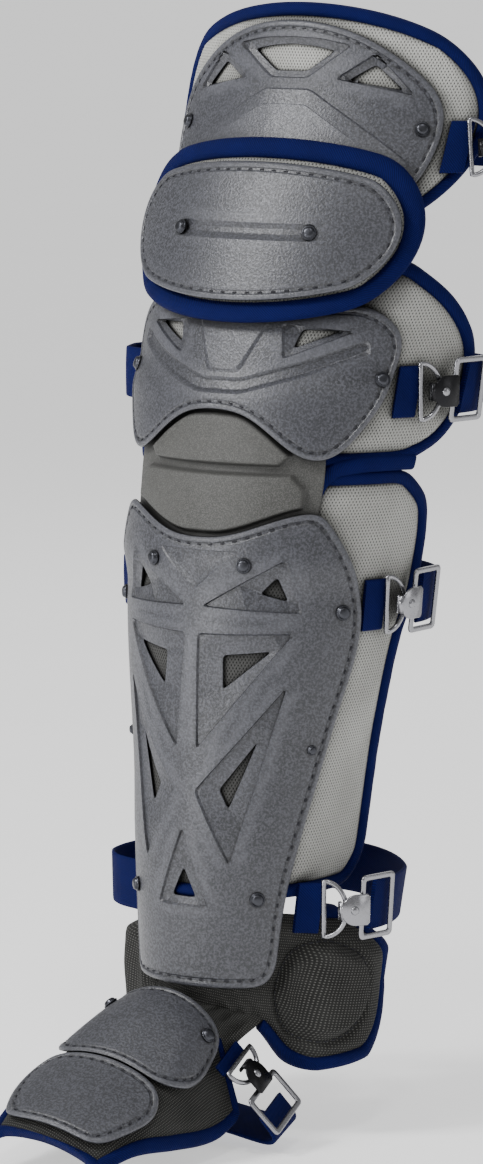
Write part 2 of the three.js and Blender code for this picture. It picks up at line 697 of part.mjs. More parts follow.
// A closed D of round wire in the xy plane, its straight bar on x = 0
function ringGeometry() {
  const bow = webbingWidth / 2 + ringWire;
  const turns = 9;
  const sides = 5;
  const centres = Array.from({ length: turns + 1 }, (_, k) => {
    const turn = -Math.PI / 2 + Math.PI * k / turns;
    return new THREE.Vector2(ringDepth * Math.cos(turn), bow * Math.sin(turn));
  });
  const rings = centres.map((centre, k) => {
    const before = centres[(k + turns) % centres.length];
    const after = centres[(k + 1) % centres.length];
    const along = after.clone().sub(before).normalize();
    return Array.from({ length: sides }, (_, i) => {
      const turn = 2 * Math.PI * i / sides;
      return new THREE.Vector3(
        centre.x + along.y * ringWire * Math.cos(turn),
        centre.y - along.x * ringWire * Math.cos(turn),
        ringWire * Math.sin(turn),
      );
    });
  });
  return tube(rings, true);
}

function frameGeometry() {
  const height = webbingWidth + 2 * frameBar + frameSlack;
  const rectangle = (Outline, width, tall) => new Outline([
    new THREE.Vector2(-width / 2, -tall / 2), new THREE.Vector2(width / 2, -tall / 2),
    new THREE.Vector2(width / 2, tall / 2), new THREE.Vector2(-width / 2, tall / 2),
  ]);
  const outline = rectangle(THREE.Shape, frameWidth, height);
  outline.holes.push(rectangle(THREE.Path, frameWidth - 2 * frameBar, height - 2 * frameBar));
  return new THREE.ExtrudeGeometry(outline, { depth: frameThickness, bevelEnabled: false });
}

// The clasp leaf: square at the frame, half round at the ring
function leafGeometry() {
  const outline = new THREE.Shape();
  outline.moveTo(leafLength / 2, -leafWidth / 2);
  outline.lineTo(leafLength / 2, leafWidth / 2);
  outline.lineTo(0, leafWidth / 2);
  outline.absarc(0, 0, leafWidth / 2, Math.PI / 2, -Math.PI / 2, false);
  return new THREE.ExtrudeGeometry(outline, { depth: leafThickness, bevelEnabled: false, curveSegments: 6 });
}

// How far along a wrap a piece lies that starts at u and runs a length outward
function walk(wrap, u, z, length) {
  const step = 0.25;
  let [at, done] = [u, 0];
  while (done < length) {
    done += wrap(at + step, z, 0).distanceTo(wrap(at, z, 0));
    at += step;
  }
  return at;
}

// A strap's way in steps: from its buckle on the right along the pad, across the calf, and back along the
// left side to its end. There it stands off the pad where it folds back on itself, or lies inside the pad.
const strapSteps = { side: 2, calf: 14, end: 8 };
function strapWrap(wrap, from, leaveAt, meetAt, to, off) {
  const outward = (u, z) => wrap(u + 0.5, z, 0).sub(wrap(u - 0.5, z, 0)).normalize();
  const { side, calf, end } = strapSteps;
  return (w, z, d) => {
    if (w < side) return wrap(THREE.MathUtils.lerp(from, leaveAt, w / side), z, d);
    const inside = Math.min(off, 0);
    if (w > side + calf) {
      const share = (w - side - calf) / end;
      const bulge = Math.max(off, 0) * smooth(share, 0, 0.4) * (1 - smooth(share, 0.6, 1));
      return wrap(-THREE.MathUtils.lerp(meetAt, to, share), z, d + inside + bulge);
    }
    const leaves = wrap(leaveAt, z, d);
    const meets = wrap(-meetAt, z, d + inside);
    const handle = strapHandle + d * 4 / 3;
    return new THREE.CubicBezierCurve3(
      leaves,
      leaves.clone().addScaledVector(outward(leaveAt, z), handle),
      meets.clone().addScaledVector(outward(-meetAt, z), -handle),
      meets,
    ).getPoint((w - side) / calf);
  };
}

const tabLength = 13;
const tabGap = 2;              // between a plate's edge and its tab
const strapInner = 1.5 * gap;  // the pads bulge a little under the flat webbing
const strapBulge = 12;
const strapInside = -padThickness - webbingThickness - 2 * gap;
const strapRows = [
  {
    name: 'thigh', height: thighPlateBottom + 0.30 * thighPlateLength, plate: thighPlateHalf, leaf: blackSteel,
    pad: 0, inside: thighPadHalf,
  },
  {
    name: 'knee', height: lowerKneePlateBottom + 0.44 * lowerKneePlateLength, plate: 0.99 * lowerKneePlateHalf,
    pad: lowerKneePadHalf, leaf: blackSteel,
  },
  {
    name: 'upper_shin', height: shinPlateBottom + 0.80 * shinPlateLength, plate: shinPlateHalf,
    pad: shinPadHalf, leaf: nickel,
  },
  {
    name: 'lower_shin', height: shinPlateBottom + 0.165 * shinPlateLength, plate: 0.66 * shinPlateHalf,
    pad: ankleHalf, leaf: nickel, flared: true,
  },
];

// Ring, frame and leaf lie over each other, each a little higher where the wrap curves away under it
function addBuckle(name, leafMaterial, place, radius) {
  const bow = (ringDepth ** 2 + leafLength ** 2) / (2 * radius);
  const ring = meshOf(`${name}_ring`, ringGeometry(), nickel);
  const frame = meshOf(`${name}_frame`, frameGeometry(), nickel);
  const clasp = meshOf(`${name}_leaf`, leafGeometry(), leafMaterial);
  place(ring, 'ring', strapInner + gap + webbingThickness + ringWire);
  place(frame, 'frame', strapInner + webbingThickness + 2 * gap);
  place(clasp, 'leaf', strapInner + 2 * gap + webbingThickness + 2 * ringWire + bow);
  return [ring, frame, clasp];
}

const leafToFrame = leafLength / 2 + frameWidth / 2 - frameBar;
strapRows.forEach(({ name, height, plate, pad, leaf, flared, inside }) => {
  const wrap = flared ? flareWrap : legWrap;
  const plateEdge = flared ? plate * ankleRadius / radiusAt(height) : plate;
  const tabStart = plateEdge + tabGap;
  const spots = { ring: walk(wrap, tabStart, height, tabLength) };
  spots.leaf = walk(wrap, spots.ring, height, ringDepth);
  spots.frame = walk(wrap, spots.leaf, height, leafToFrame);
  const leaveAt = Math.max(spots.frame, pad + bindingWidth + 2 * gap);
  const strap = inside
    ? strapWrap(wrap, spots.frame, leaveAt, inside, inside - 2 * tabLength, strapInside)
    : strapWrap(wrap, spots.frame, leaveAt, leaveAt, tabStart, strapBulge);
  const steps = strapSteps.side + strapSteps.calf + strapSteps.end;
  leg.add(meshOf(`${name}_tab`, band(tabStart, spots.ring, height, strapInner, 3, wrap), navy));
  leg.add(meshOf(`${name}_strap`, band(0, steps, height, strapInner, steps, strap), navy));
  const place = (piece, spot, d) => seatOn(piece, wrap, spots[spot], height, d);
  leg.add(...addBuckle(name, leaf, place, flared ? ankleRadius : radiusAt(height)));
});

// The foot strap runs from beside the instep plate down, under the arch and up to the flap's left side
const footTabLength = 7;
const footTabAt = 0.03 * footLength;
const footTabBeside = 8;       // from the instep plate's edge
const footTabSpot = instepSides[0].half * footPlateHalf + footTabBeside;
const footRun = new THREE.Vector3(0.63, 0.37, -0.69).normalize();
const footStrapWidth = new THREE.Vector3(-0.23, 0.93, 0.28).normalize();
const footOut = new THREE.Vector3().crossVectors(footRun, footStrapWidth).normalize();
const footTabEnd = footWrap(footTabSpot, footTabAt, gap).addScaledVector(footOut, webbingThickness);
const footPoint = (distance, out = 0) => footTabEnd.clone()
  .addScaledVector(footRun, distance)
  .addScaledVector(footOut, out);
const mirror = (p) => new THREE.Vector3(-p.x, p.y, p.z);

// A flat ribbon along a curve, its width turning over to the mirrored direction by the share given
function ribbon(curve, steps, turned) {
  const rings = curve.getPoints(steps).map((point, k) => {
    const along = curve.getTangent(k / steps);
    const width = footStrapWidth.clone().lerp(mirror(footStrapWidth), turned * k / steps);
    const out = new THREE.Vector3().crossVectors(along, width).normalize();
    return [[-1, 0], [-1, 1], [1, 1], [1, 0]].map(([across, up]) => point.clone()
      .addScaledVector(width, across * webbingWidth / 2)
      .addScaledVector(out, up * webbingThickness));
  });
  return tube(rings, false);
}
const footFrameAt = footTabLength + ringDepth + leafToFrame;
foot.add(meshOf('foot_tab', ribbon(new THREE.LineCurve3(footPoint(0), footPoint(footTabLength)), 1, 0), navy));
const soleDepth = 30;
const sole = footPoint(footFrameAt + 0.75 * soleDepth);
const footStrapPath = new THREE.CatmullRomCurve3([
  footPoint(footFrameAt),
  footPoint(footFrameAt + soleDepth / 2, -webbingThickness),
  new THREE.Vector3(sole.x / 2, sole.y, sole.z),
  new THREE.Vector3(-sole.x / 2, sole.y, sole.z),
  mirror(footPoint(footFrameAt + soleDepth / 2, -webbingThickness)),
  mirror(footPoint(footFrameAt)),
  mirror(footPoint(footTabLength)),
  mirror(footPoint(0)),
]);
foot.add(meshOf('foot_strap', ribbon(footStrapPath, 22, 1), navy));
const footSpots = { ring: footTabLength, leaf: footTabLength + ringDepth, frame: footFrameAt };
const footUp = new THREE.Vector3().crossVectors(footOut, footRun);
const footBasis = new THREE.Matrix4().makeBasis(footRun, footUp, footOut);
foot.add(...addBuckle('foot', blackSteel, (piece, spot, d) => {
  piece.position.copy(footPoint(footSpots[spot], d));
  piece.quaternion.setFromRotationMatrix(footBasis);
}, legHeight));

// The whole guard, with its origin where the shin pad's inner face rests on the leg
const seatShare = 0.78;        // of the shin plate's length
const seatHeight = shinPlateBottom + seatShare * shinPlateLength;
const seat = legWrap(0, seatHeight, -padThickness);
const guard = new THREE.Group();
guard.position.set(0, -seat.y, -seatHeight);
guard.add(leg, foot);

export default guard;
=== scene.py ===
"""The looks of a catcher's leg guard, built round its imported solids.

Forms are worked out in the guard's own millimetres, and placed in the frame's metres.
"""
import math
from collections import namedtuple
from functools import lru_cache

import bpy
import numpy as np
from mathutils import Matrix, Vector, noise
from mathutils.geometry import delaunay_2d_cdt


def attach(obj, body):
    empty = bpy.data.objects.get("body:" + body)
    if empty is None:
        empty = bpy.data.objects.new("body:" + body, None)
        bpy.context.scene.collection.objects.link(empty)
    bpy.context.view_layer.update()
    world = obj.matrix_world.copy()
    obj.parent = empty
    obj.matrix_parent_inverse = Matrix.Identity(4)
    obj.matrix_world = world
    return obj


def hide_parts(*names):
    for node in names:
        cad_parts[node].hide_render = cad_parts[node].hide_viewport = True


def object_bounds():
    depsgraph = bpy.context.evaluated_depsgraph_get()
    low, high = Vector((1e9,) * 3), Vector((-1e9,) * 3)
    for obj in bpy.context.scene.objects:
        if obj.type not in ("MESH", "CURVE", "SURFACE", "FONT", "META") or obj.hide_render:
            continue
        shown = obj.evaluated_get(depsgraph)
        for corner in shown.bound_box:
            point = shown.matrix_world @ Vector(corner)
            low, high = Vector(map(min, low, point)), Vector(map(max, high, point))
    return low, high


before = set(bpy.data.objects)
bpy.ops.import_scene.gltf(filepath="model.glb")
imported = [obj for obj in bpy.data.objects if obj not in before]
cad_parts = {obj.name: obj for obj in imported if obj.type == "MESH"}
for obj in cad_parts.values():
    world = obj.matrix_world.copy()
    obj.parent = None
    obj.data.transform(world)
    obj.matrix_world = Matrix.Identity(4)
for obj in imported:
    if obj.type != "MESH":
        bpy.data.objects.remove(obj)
cad_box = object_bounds()

# The guard's form, with the same sizes as its solids
LEG_HEIGHT = 650
THIGH_RADIUS = 140
LEAN_BACK = 110
SHIN_FRONT = 68
STRAP_HANDLE = 66
PAD = 10
PLATE = 4
BINDING = 6
KNEE_BINDING = 9.5
WEBBING = 2.4
WEBBING_WIDTH = 29
GAP = 0.7
FOAM = 2.6
FOAM_GAP = 1.1
FOAM_PUFF = 4
SHIN_PLATE = {"bottom": 106, "length": 269, "half": 95}
LOWER_KNEE_PLATE = {"bottom": 402, "length": 87, "half": 99}
KNEE_PLATE = {"bottom": 491, "length": 76, "half": 83}
THIGH_PLATE = {"bottom": 545, "length": 101, "half": 96}
SHIN_PAD = {"bottom": 156, "length": 240, "half": 138}
LOWER_KNEE_PAD = {"bottom": 399, "length": 108, "half": 148}
PAD_MARGIN = 3
THIGH_PAD_DROP = 21
THIGH_PAD_HALF = 116
FOAM_BOTTOM = 352
FOAM_LENGTH = 79
FOAM_HALF = 66
HORN_DIP = 15
ANKLE_LENGTH = 98
ANKLE_HALF = 134
ANKLE_RADIUS = 62
DOME_RADIUS = 27
DOME_HEIGHT = 6
FOOT_START = 76
FOOT_REACH = 114
FOOT_HEIGHT = 102
FOOT_ROLL = math.radians(8)
FOOT_LENGTH = 130
FOOT_WIDTH = 34
FOOT_SIDE_RADIUS = 24
FOOT_SIDE_TURN = math.radians(64)
FOOT_PAD = 5
FOOT_GAP = 1.1
FOOT_PLATE_HALF = 50
INSTEP_START = 4
INSTEP_LENGTH = 62
TOE_LENGTH = 58
RING_WIRE = 1.4
RING_DEPTH = 13
FRAME_WIDTH = 26
FRAME_BAR = 3.2
FRAME_THICKNESS = 1.8
LEAF_LENGTH = 17
LEAF_WIDTH = 18
LEAF_THICKNESS = 1.5
RIVET_RADIUS = 4.4
RIVET_HEIGHT = 2.6
TAB_LENGTH = 13
FOOT_TAB_LENGTH = 7
STRAP_BULGE = 12

# Tables: the first column is the share along the piece, the others are shares of named sizes
ANKLE_FLARE = [(0, 0), (0.36, 0), (0.40, 0.05), (0.45, 0.24), (0.56, 0.44), (0.70, 0.55)]
# share, forward, height, radius, arc, half
FOOT_SECTIONS = [
    (0.00, 0.00, 1.00, 1.2, 0.75, 2.45),
    (0.18, 0.20, 0.93, 1.4, 0.80, 2.42),
    (0.52, 0.52, 0.70, 2.4, 0.95, 1.82),
    (0.77, 0.77, 0.545, 3.2, 0.90, 1.37),
    (1.00, 1.00, 0.40, 3.2, 0.80, 1.09),
]
# share, lean, radius
LEG_SECTIONS = [
    (0.154, 0.00, 0.36), (0.285, 0.00, 0.42), (0.346, 0.03, 0.46), (0.483, 0.10, 0.60),
    (0.577, 0.20, 0.64), (0.688, 0.36, 0.76), (0.738, 0.47, 0.81), (0.831, 0.69, 0.89),
    (0.923, 0.93, 1.00), (1.000, 1.00, 1.00),
]
# share, half
SHIN_PLATE_SIDES = [
    (0, 0.48), (0.03, 0.54), (0.11, 0.57), (0.21, 0.62), (0.33, 0.71), (0.56, 0.88), (0.70, 0.99),
    (0.80, 1.00), (0.90, 0.89), (1, 0.70),
]
SHIN_PAD_SIDES = [(0, 0.80), (0.07, 0.90), (0.40, 0.91), (0.60, 0.93), (0.75, 1.00), (0.92, 0.99), (1, 0.84)]
LOWER_KNEE_PLATE_SIDES = [(0, 0.83), (0.20, 0.92), (0.60, 1.00), (0.80, 0.97), (1, 0.76)]
LOWER_KNEE_PAD_SIDES = [(0, 0.76), (0.10, 0.92), (0.28, 1.00), (0.55, 0.98), (0.80, 0.83), (1, 0.62)]
THIGH_PLATE_SIDES = [
    (0, 0.88), (0.25, 0.96), (0.50, 1.00), (0.62, 0.95), (0.80, 0.75), (0.95, 0.52), (1, 0.42),
]
INSTEP_SIDES = [(0, 0.80), (0.35, 1.0), (0.75, 0.90), (1, 0.68)]
TOE_SIDES = [(0, 0.72), (0.25, 0.88), (0.65, 0.78), (1, 0.62)]
# share across, rise
LOBE_EDGE = [(0, 0.33), (0.20, 0.31), (0.36, 0.22), (0.56, 0.07), (0.72, 0.00), (0.88, 0.05), (1, 0.20)]

# Pockets on a plate's right half, in shares of its half-width and length: the rim, then the hole through it
SHIN_POCKETS = [
    ([(0.05, 0.80), (0.53, 0.905), (0.65, 0.79)], [(0.40, 0.83), (0.49, 0.865), (0.56, 0.815)]),
    ([(0.04, 0.745), (0.61, 0.75), (0.065, 0.50)], [(0.20, 0.70), (0.48, 0.71), (0.21, 0.63)]),
    ([(0.065, 0.415), (0.285, 0.26), (0.58, 0.64)], [(0.21, 0.42), (0.27, 0.38), (0.42, 0.52)]),
]
SHIN_FOOT_POCKET = ([(-0.17, 0.17), (0.17, 0.17), (0, 0.34)], [(-0.08, 0.19), (0.08, 0.19), (0, 0.25)])
THIGH_POCKET = ([(0.30, 0.67), (0.79, 0.58), (0.54, 0.82)], [(0.38, 0.66), (0.71, 0.61), (0.54, 0.75)])
THIGH_CROWN_POCKET = (
    [(-0.13, 0.67), (0.13, 0.67), (0.40, 0.86), (0.20, 0.895), (0, 0.905), (-0.20, 0.895), (-0.40, 0.86)],
    [(-0.11, 0.71), (0.11, 0.71), (0.28, 0.825), (0.14, 0.85), (0, 0.86), (-0.14, 0.85), (-0.28, 0.825)],
)
# The raised lower part of the thigh plate: where its slope starts and ends
THIGH_STEP = (
    [(-78, 553), (78, 553), (81, 566), (60, 580), (15, 607), (-15, 607), (-60, 580), (-81, 566)],
    [(-70, 560), (70, 560), (73, 563), (56, 573), (14, 598), (-14, 598), (-56, 573), (-73, 563)],
)
SHIN_CHEVRON = ([(-25, 353), (25, 353), (0, 330)], [(-17, 350), (17, 350), (0, 335)])
# The wide groove across the lower-knee plate, and the raised panel over its middle
LOWER_KNEE_BAND = [(-78, 465), (-46, 453.5), (-13, 443.5), (13, 443.5), (46, 453.5), (78, 465)]
LOWER_KNEE_PANEL = (
    [(-10.5, 450.5), (10.5, 450.5), (24, 481), (-24, 481)],
    [(-8.5, 452.7), (8.5, 452.7), (21, 478.8), (-21, 478.8)],
)
LOWER_KNEE_POCKET = ([(0.34, 0.65), (0.72, 0.83), (0.30, 0.88)], [(0.39, 0.72), (0.64, 0.83), (0.42, 0.84)])
# The groove between the knee plate's two rivets
KNEE_GROOVE = [(-36, 529), (0, 529), (38, 529)]
# Tape from the gap between two pads down to the shin plate's horn, and its half-width at each end
JOINT_TAPE = [(57, 366), (60, 379), (64, 391), (73, 398.5), (90, 400.5), (112, 400.5), (122, 400)]
JOINT_TAPE_HALF = (5.4, 4.8)
JOINT_TAPE_SIDES = 16
THIGH_CROWN_DROP = 7
HORN_SPAN = (0.1, 0.95)
SMALL_RIVET_AT = (69.5, 241)
SMALL_RIVET_SIZE = 0.66
PAD_BACK_ROUND = 1.2
# Where the shin pad's dark mesh ends: below the plate's top and inside its edge
DARK_BELOW_TOP = 16
DARK_INSIDE_EDGE = 10
# The foam's cushions, in shares of its length and half-width, and how far their corners are cut
FOAM_CREASE = 0.58
FOAM_UPPER_HALF = 0.80
FOAM_LOWER_HALF = 0.88
FOAM_UPPER_CORNER = 11
FOAM_LOWER_CORNER = 9
CORNER_SLANT = 0.7
ANKLE_RISE = 0.3
DOME_ACROSS = 0.667 * ANKLE_HALF
DOME_AT = SHIN_PAD["bottom"] - 0.555 * ANKLE_LENGTH
DOME_NARROWING = 1.2
ARCH_DEPTH = 30
WIRE_SIDES = 10
BOW_STEPS = 30
BAR_STEPS = 10
LEAF_CORNER = 1.5
STUD_RADIUS = 2.6
STUD_HEIGHT = 1.5
HOOK_STEPS = 8
HOOK_REACH = 2.2
HOOK_DROP = 1.9
# Across the hook, along it and through it
HOOK_SECTION = ((-5, 0, -0.6), (5, 0, -0.6), (5, 0.2, 0.6), (-5, 0.2, 0.6))

PLATE_FACE = GAP + PLATE
FOAM_TOP = FOAM_BOTTOM + FOAM_LENGTH
FOAM_FACE = GAP + FOAM
KNEE_PAD_INNER = PLATE_FACE + GAP
KNEE_PLATE_FACE = KNEE_PAD_INNER + PAD + PLATE_FACE
STRAP_INNER = 1.5 * GAP


def smooth(x, low, high):
    t = min(max((x - low) / (high - low), 0), 1)
    return t * t * (3 - 2 * t)


def mix(a, b, t):
    return a + (b - a) * t


def read(rows, at, column=1):
    """A smooth curve through a table's rows."""
    if at <= rows[0][0]:
        return rows[0][column]
    if at >= rows[-1][0]:
        return rows[-1][column]
    i = next(k for k, row in enumerate(rows) if row[0] > at) - 1

    def slope(k):
        before, after = rows[max(k - 1, 0)], rows[min(k + 1, len(rows) - 1)]
        return (after[column] - before[column]) / (after[0] - before[0])

    span = rows[i + 1][0] - rows[i][0]
    t = (at - rows[i][0]) / span
    bend = 1 - t
    return (
        rows[i][column] * (1 + 2 * t) * bend * bend
        + rows[i + 1][column] * (3 - 2 * t) * t * t
        + span * (slope(i) * t * bend * bend - slope(i + 1) * bend * t * t)
    )


@lru_cache(maxsize=None)
def front_at(z):
    return read(LEG_SECTIONS, z / LEG_HEIGHT, 1) * LEAN_BACK - SHIN_FRONT


@lru_cache(maxsize=None)
def radius_at(z):
    return read(LEG_SECTIONS, z / LEG_HEIGHT, 2) * THIGH_RADIUS


def leg_wrap(u, z, d):
    """A point on the leg's section: an arc round the front, then straight back, d outward of it."""
    front, radius = front_at(z), radius_at(z)
    quarter = radius * math.pi / 2
    turn = min(abs(u), quarter) / radius
    x = math.copysign((radius + d) * math.sin(turn), u)
    return Vector((x, front + radius - (radius + d) * math.cos(turn) + max(abs(u) - quarter, 0), z))


def flare_wrap(u, z, d):
    turn = abs(u) / ANKLE_RADIUS
    reach = radius_at(z) + read(ANKLE_FLARE, turn / math.pi) * ANKLE_RADIUS
    centre = front_at(z) + radius_at(z)
    x = math.copysign((reach + d) * math.sin(turn), u)
    return Vector((x, centre - (reach + d) * math.cos(turn), z))


def ankle_wrap(u, z, d):
    flare = smooth(SHIN_PAD["bottom"] - z, ANKLE_LENGTH * 0.05, ANKLE_LENGTH * 0.4)
    return leg_wrap(u * radius_at(z) / ANKLE_RADIUS, z, d).lerp(flare_wrap(u, z, d), flare)


def foot_ridge(share):
    forward, height = read(FOOT_SECTIONS, share, 1), read(FOOT_SECTIONS, share, 2)
    return Vector((0, -forward * FOOT_REACH, (height - 1) * FOOT_HEIGHT))


def foot_local(u, v, d):
    at = v / FOOT_LENGTH
    along = (foot_ridge(min(at + 0.02, 1)) - foot_ridge(max(at - 0.02, 0))).normalized()
    radius = read(FOOT_SECTIONS, at, 3) * FOOT_WIDTH
    top_turn = read(FOOT_SECTIONS, at, 4) * FOOT_WIDTH / radius
    distance = abs(u)
    past = max(distance - top_turn * radius - FOOT_SIDE_RADIUS * (FOOT_SIDE_TURN - top_turn), 0)
    top = min(distance / radius, top_turn)
    turn = min(top + max(distance - top_turn * radius, 0) / FOOT_SIDE_RADIUS, FOOT_SIDE_TURN)
    across = radius * math.sin(top) + FOOT_SIDE_RADIUS * (math.sin(turn) - math.sin(top))
    across += past * math.cos(FOOT_SIDE_TURN) + d * math.sin(turn)
    drop = radius * (1 - math.cos(top)) + FOOT_SIDE_RADIUS * (math.cos(top) - math.cos(turn))
    drop += past * math.sin(FOOT_SIDE_TURN)
    out = d * math.cos(turn)
    return foot_ridge(at) + Vector((math.copysign(across, u), along.z * out, -drop - along.y * out))


def from_foot(p):
    """A point of the foot flap, rolled outward and carried to the ankle."""
    c, s = math.cos(FOOT_ROLL), math.sin(FOOT_ROLL)
    return Vector((p.x * c + p.z * s, p.y - FOOT_START, -p.x * s + p.z * c + FOOT_HEIGHT))


def foot_wrap(u, v, d):
    return from_foot(foot_local(-u, v, d))


SEAT_HEIGHT = SHIN_PLATE["bottom"] + 0.78 * SHIN_PLATE["length"]
SEAT = leg_wrap(0, SEAT_HEIGHT, -PAD)


def placed(p):
    """From the guard's own millimetres to the frame's metres."""
    return Vector((p.x, p.y - SEAT.y, p.z - SEAT.z)) / 1000


# Materials
def linear(r, g, b):
    def channel(value):
        share = value / 255
        return share / 12.92 if share <= 0.04045 else ((share + 0.055) / 1.055) ** 2.4

    return (channel(r), channel(g), channel(b), 1)


# Places of a mix node's colour sockets
MIX_FACTOR = 0
MIX_FIRST = 6
MIX_SECOND = 7
MIX_RESULT = 2


class Nodes:
    """Short names for the nodes of one material."""

    def __init__(self, name, color, roughness, metallic=0.0, **sockets):
        self.material = bpy.data.materials.new(name)
        self.material.use_nodes = True
        self.tree = self.material.node_tree
        self.shader = self.tree.nodes["Principled BSDF"]
        self.shader.inputs["Base Color"].default_value = color
        self.shader.inputs["Roughness"].default_value = roughness
        self.shader.inputs["Metallic"].default_value = metallic
        for socket, value in sockets.items():
            self.shader.inputs[socket.replace("_", " ")].default_value = value

    def add(self, kind, inputs=(), **settings):
        node = self.tree.nodes.new(kind)
        for key, value in settings.items():
            setattr(node, key, value)
        for key, value in dict(inputs).items():
            self.link(value, node.inputs[key])
        return node

    def link(self, value, socket):
        if isinstance(value, bpy.types.NodeSocket):
            self.tree.links.new(value, socket)
        else:
            socket.default_value = value

    def math(self, operation, a, b=0.0):
        return self.add("ShaderNodeMath", {0: a, 1: b}, operation=operation).outputs[0]

    def laid(self, pitch_x, pitch_y, turn=0.0):
        """Coordinates along the cloth, counted in threads."""
        uv = self.add("ShaderNodeUVMap", uv_map="laid").outputs["UV"]
        scale = (1000 / pitch_x, 1000 / pitch_y, 1)
        turned = self.add("ShaderNodeMapping", {"Vector": uv, "Rotation": (0, 0, turn)}).outputs[0]
        scaled = self.add("ShaderNodeMapping", {"Vector": turned, "Scale": scale}).outputs[0]
        parts = self.add("ShaderNodeSeparateXYZ", {0: scaled})
        return parts.outputs[0], parts.outputs[1]

    def wave(self, value):
        """A sine between 0 and 1, one wave to a unit."""
        sine = self.math("SINE", self.math("MULTIPLY", value, 2 * math.pi))
        return self.math("ADD", self.math("MULTIPLY", sine, 0.5), 0.5)

    def noise(self, scale, detail=3.0, roughness=0.5):
        where = self.add("ShaderNodeTexCoord").outputs["Object"]
        inputs = {"Vector": where, "Scale": scale, "Detail": detail, "Roughness": roughness}
        return self.add("ShaderNodeTexNoise", inputs).outputs[0]

    def blend(self, factor, first, second):
        inputs = {MIX_FACTOR: factor, MIX_FIRST: first, MIX_SECOND: second}
        return self.add("ShaderNodeMix", inputs, data_type="RGBA").outputs[MIX_RESULT]

    def ranged(self, value, low, high, new_low=0.0, new_high=1.0):
        inputs = {0: value, 1: low, 2: high, 3: new_low, 4: new_high}
        return self.add("ShaderNodeMapRange", inputs).outputs[0]

    def shaded(self, value, distance, deep, low=0.35, high=0.95):
        """The colour, darker where the surface lies in a corner or under something."""
        open_share = self.add("ShaderNodeAmbientOcclusion", {"Distance": distance}, samples=8).outputs["AO"]
        return self.blend(self.ranged(open_share, low, high), deep, value)

    def color(self, value):
        self.link(value, self.shader.inputs["Base Color"])

    def roughness(self, value):
        self.link(value, self.shader.inputs["Roughness"])

    def bump(self, height, strength, distance, below=None):
        inputs = {"Height": height, "Strength": strength, "Distance": distance}
        if below is not None:
            inputs["Normal"] = below
        result = self.add("ShaderNodeBump", inputs).outputs[0]
        self.link(result, self.shader.inputs["Normal"])
        return result


def plastic():
    """Moulded plastic with a pebbled satin face, paler painted highlights on its sharp ridges and painted
    shade in its creases.
    """
    n = Nodes("graphite_plastic", linear(54, 55, 60), 0.36, Specular_IOR_Level=0.6)
    pebble = n.noise(scale=760, detail=2.0, roughness=0.6)
    cloud = n.noise(scale=18, detail=4.0)
    # Painted highlight: pointiness picks out the sharp ridges, for the paler mix below
    edge = n.ranged(n.add("ShaderNodeNewGeometry").outputs["Pointiness"], low=0.50, high=0.56)
    base = n.blend(n.ranged(cloud, low=0.3, high=0.7), linear(36, 37, 41), linear(47, 48, 53))
    speckled = n.blend(n.ranged(pebble, low=0.42, high=0.62), base, linear(74, 75, 82))
    # Painted highlight: the colour of the sharp ridges is mixed towards a paler grey
    ridge_highlighted = n.blend(n.math("MULTIPLY", edge, 0.4), speckled, linear(104, 105, 112))
    n.color(n.shaded(ridge_highlighted, distance=0.008, deep=linear(20, 20, 22)))
    n.roughness(n.ranged(pebble, low=0.3, high=0.7, new_low=0.46, new_high=0.34))
    n.bump(pebble, strength=0.6, distance=0.0005)
    return n.material


def knit(name, low, high, hole):
    """Spacer mesh: rows of small diamond holes in yarn between two shades."""
    n = Nodes(name, low, 0.85, Specular_IOR_Level=0.15)
    x, y = n.laid(pitch_x=2.0, pitch_y=1.65)
    first = n.wave(n.math("ADD", x, n.math("MULTIPLY", y, 0.5)))
    second = n.wave(n.math("SUBTRACT", x, n.math("MULTIPLY", y, 0.5)))
    holes = n.math("MULTIPLY", first, second)
    cloud = n.noise(scale=30, detail=3.0)
    yarn = n.blend(n.ranged(cloud, low=0.35, high=0.65), low, high)
    knitted = n.blend(n.ranged(holes, low=0.42, high=0.72), yarn, hole)
    n.color(n.shaded(knitted, distance=0.02, deep=linear(30, 30, 29)))
    soft = n.bump(cloud, strength=0.2, distance=0.002)
    n.bump(n.math("SUBTRACT", 1.0, holes), strength=0.7, distance=0.0006, below=soft)
    return n.material


def twill(name, low, high, pitch=1.5):
    """Webbing and binding: fine slanted ribs."""
    n = Nodes(name, low, 0.8, Specular_IOR_Level=0.12)
    x, y = n.laid(pitch, pitch)
    ribs = n.wave(n.math("ADD", x, y))
    cross = n.wave(n.math("MULTIPLY", n.math("SUBTRACT", x, y), 2.0))
    thread = n.math("ADD", n.math("MULTIPLY", ribs, 0.75), n.math("MULTIPLY", cross, 0.25))
    shade = n.noise(scale=60, detail=3.0)
    uneven = n.ranged(shade, low=0.2, high=0.8, new_low=0.6, new_high=1.0)
    n.color(n.blend(n.math("MULTIPLY", thread, uneven), low, high))
    n.bump(thread, strength=0.6, distance=0.0004)
    return n.material


def open_weave():
    """Charcoal cloth with small pale points where the threads cross."""
    n = Nodes("charcoal_weave", linear(45, 45, 43), 0.85, Specular_IOR_Level=0.2)
    x, y = n.laid(pitch_x=1.5, pitch_y=1.5, turn=math.radians(8))
    points = n.math("MULTIPLY", n.wave(x), n.wave(y))
    cloud = n.noise(scale=40, detail=3.0)
    dark = n.blend(n.ranged(cloud, low=0.35, high=0.65), linear(30, 30, 29), linear(44, 44, 43))
    n.color(n.blend(n.ranged(points, low=0.35, high=0.85), dark, linear(92, 92, 89)))
    soft = n.bump(cloud, strength=0.25, distance=0.002)
    n.bump(points, strength=0.7, distance=0.0006, below=soft)
    return n.material


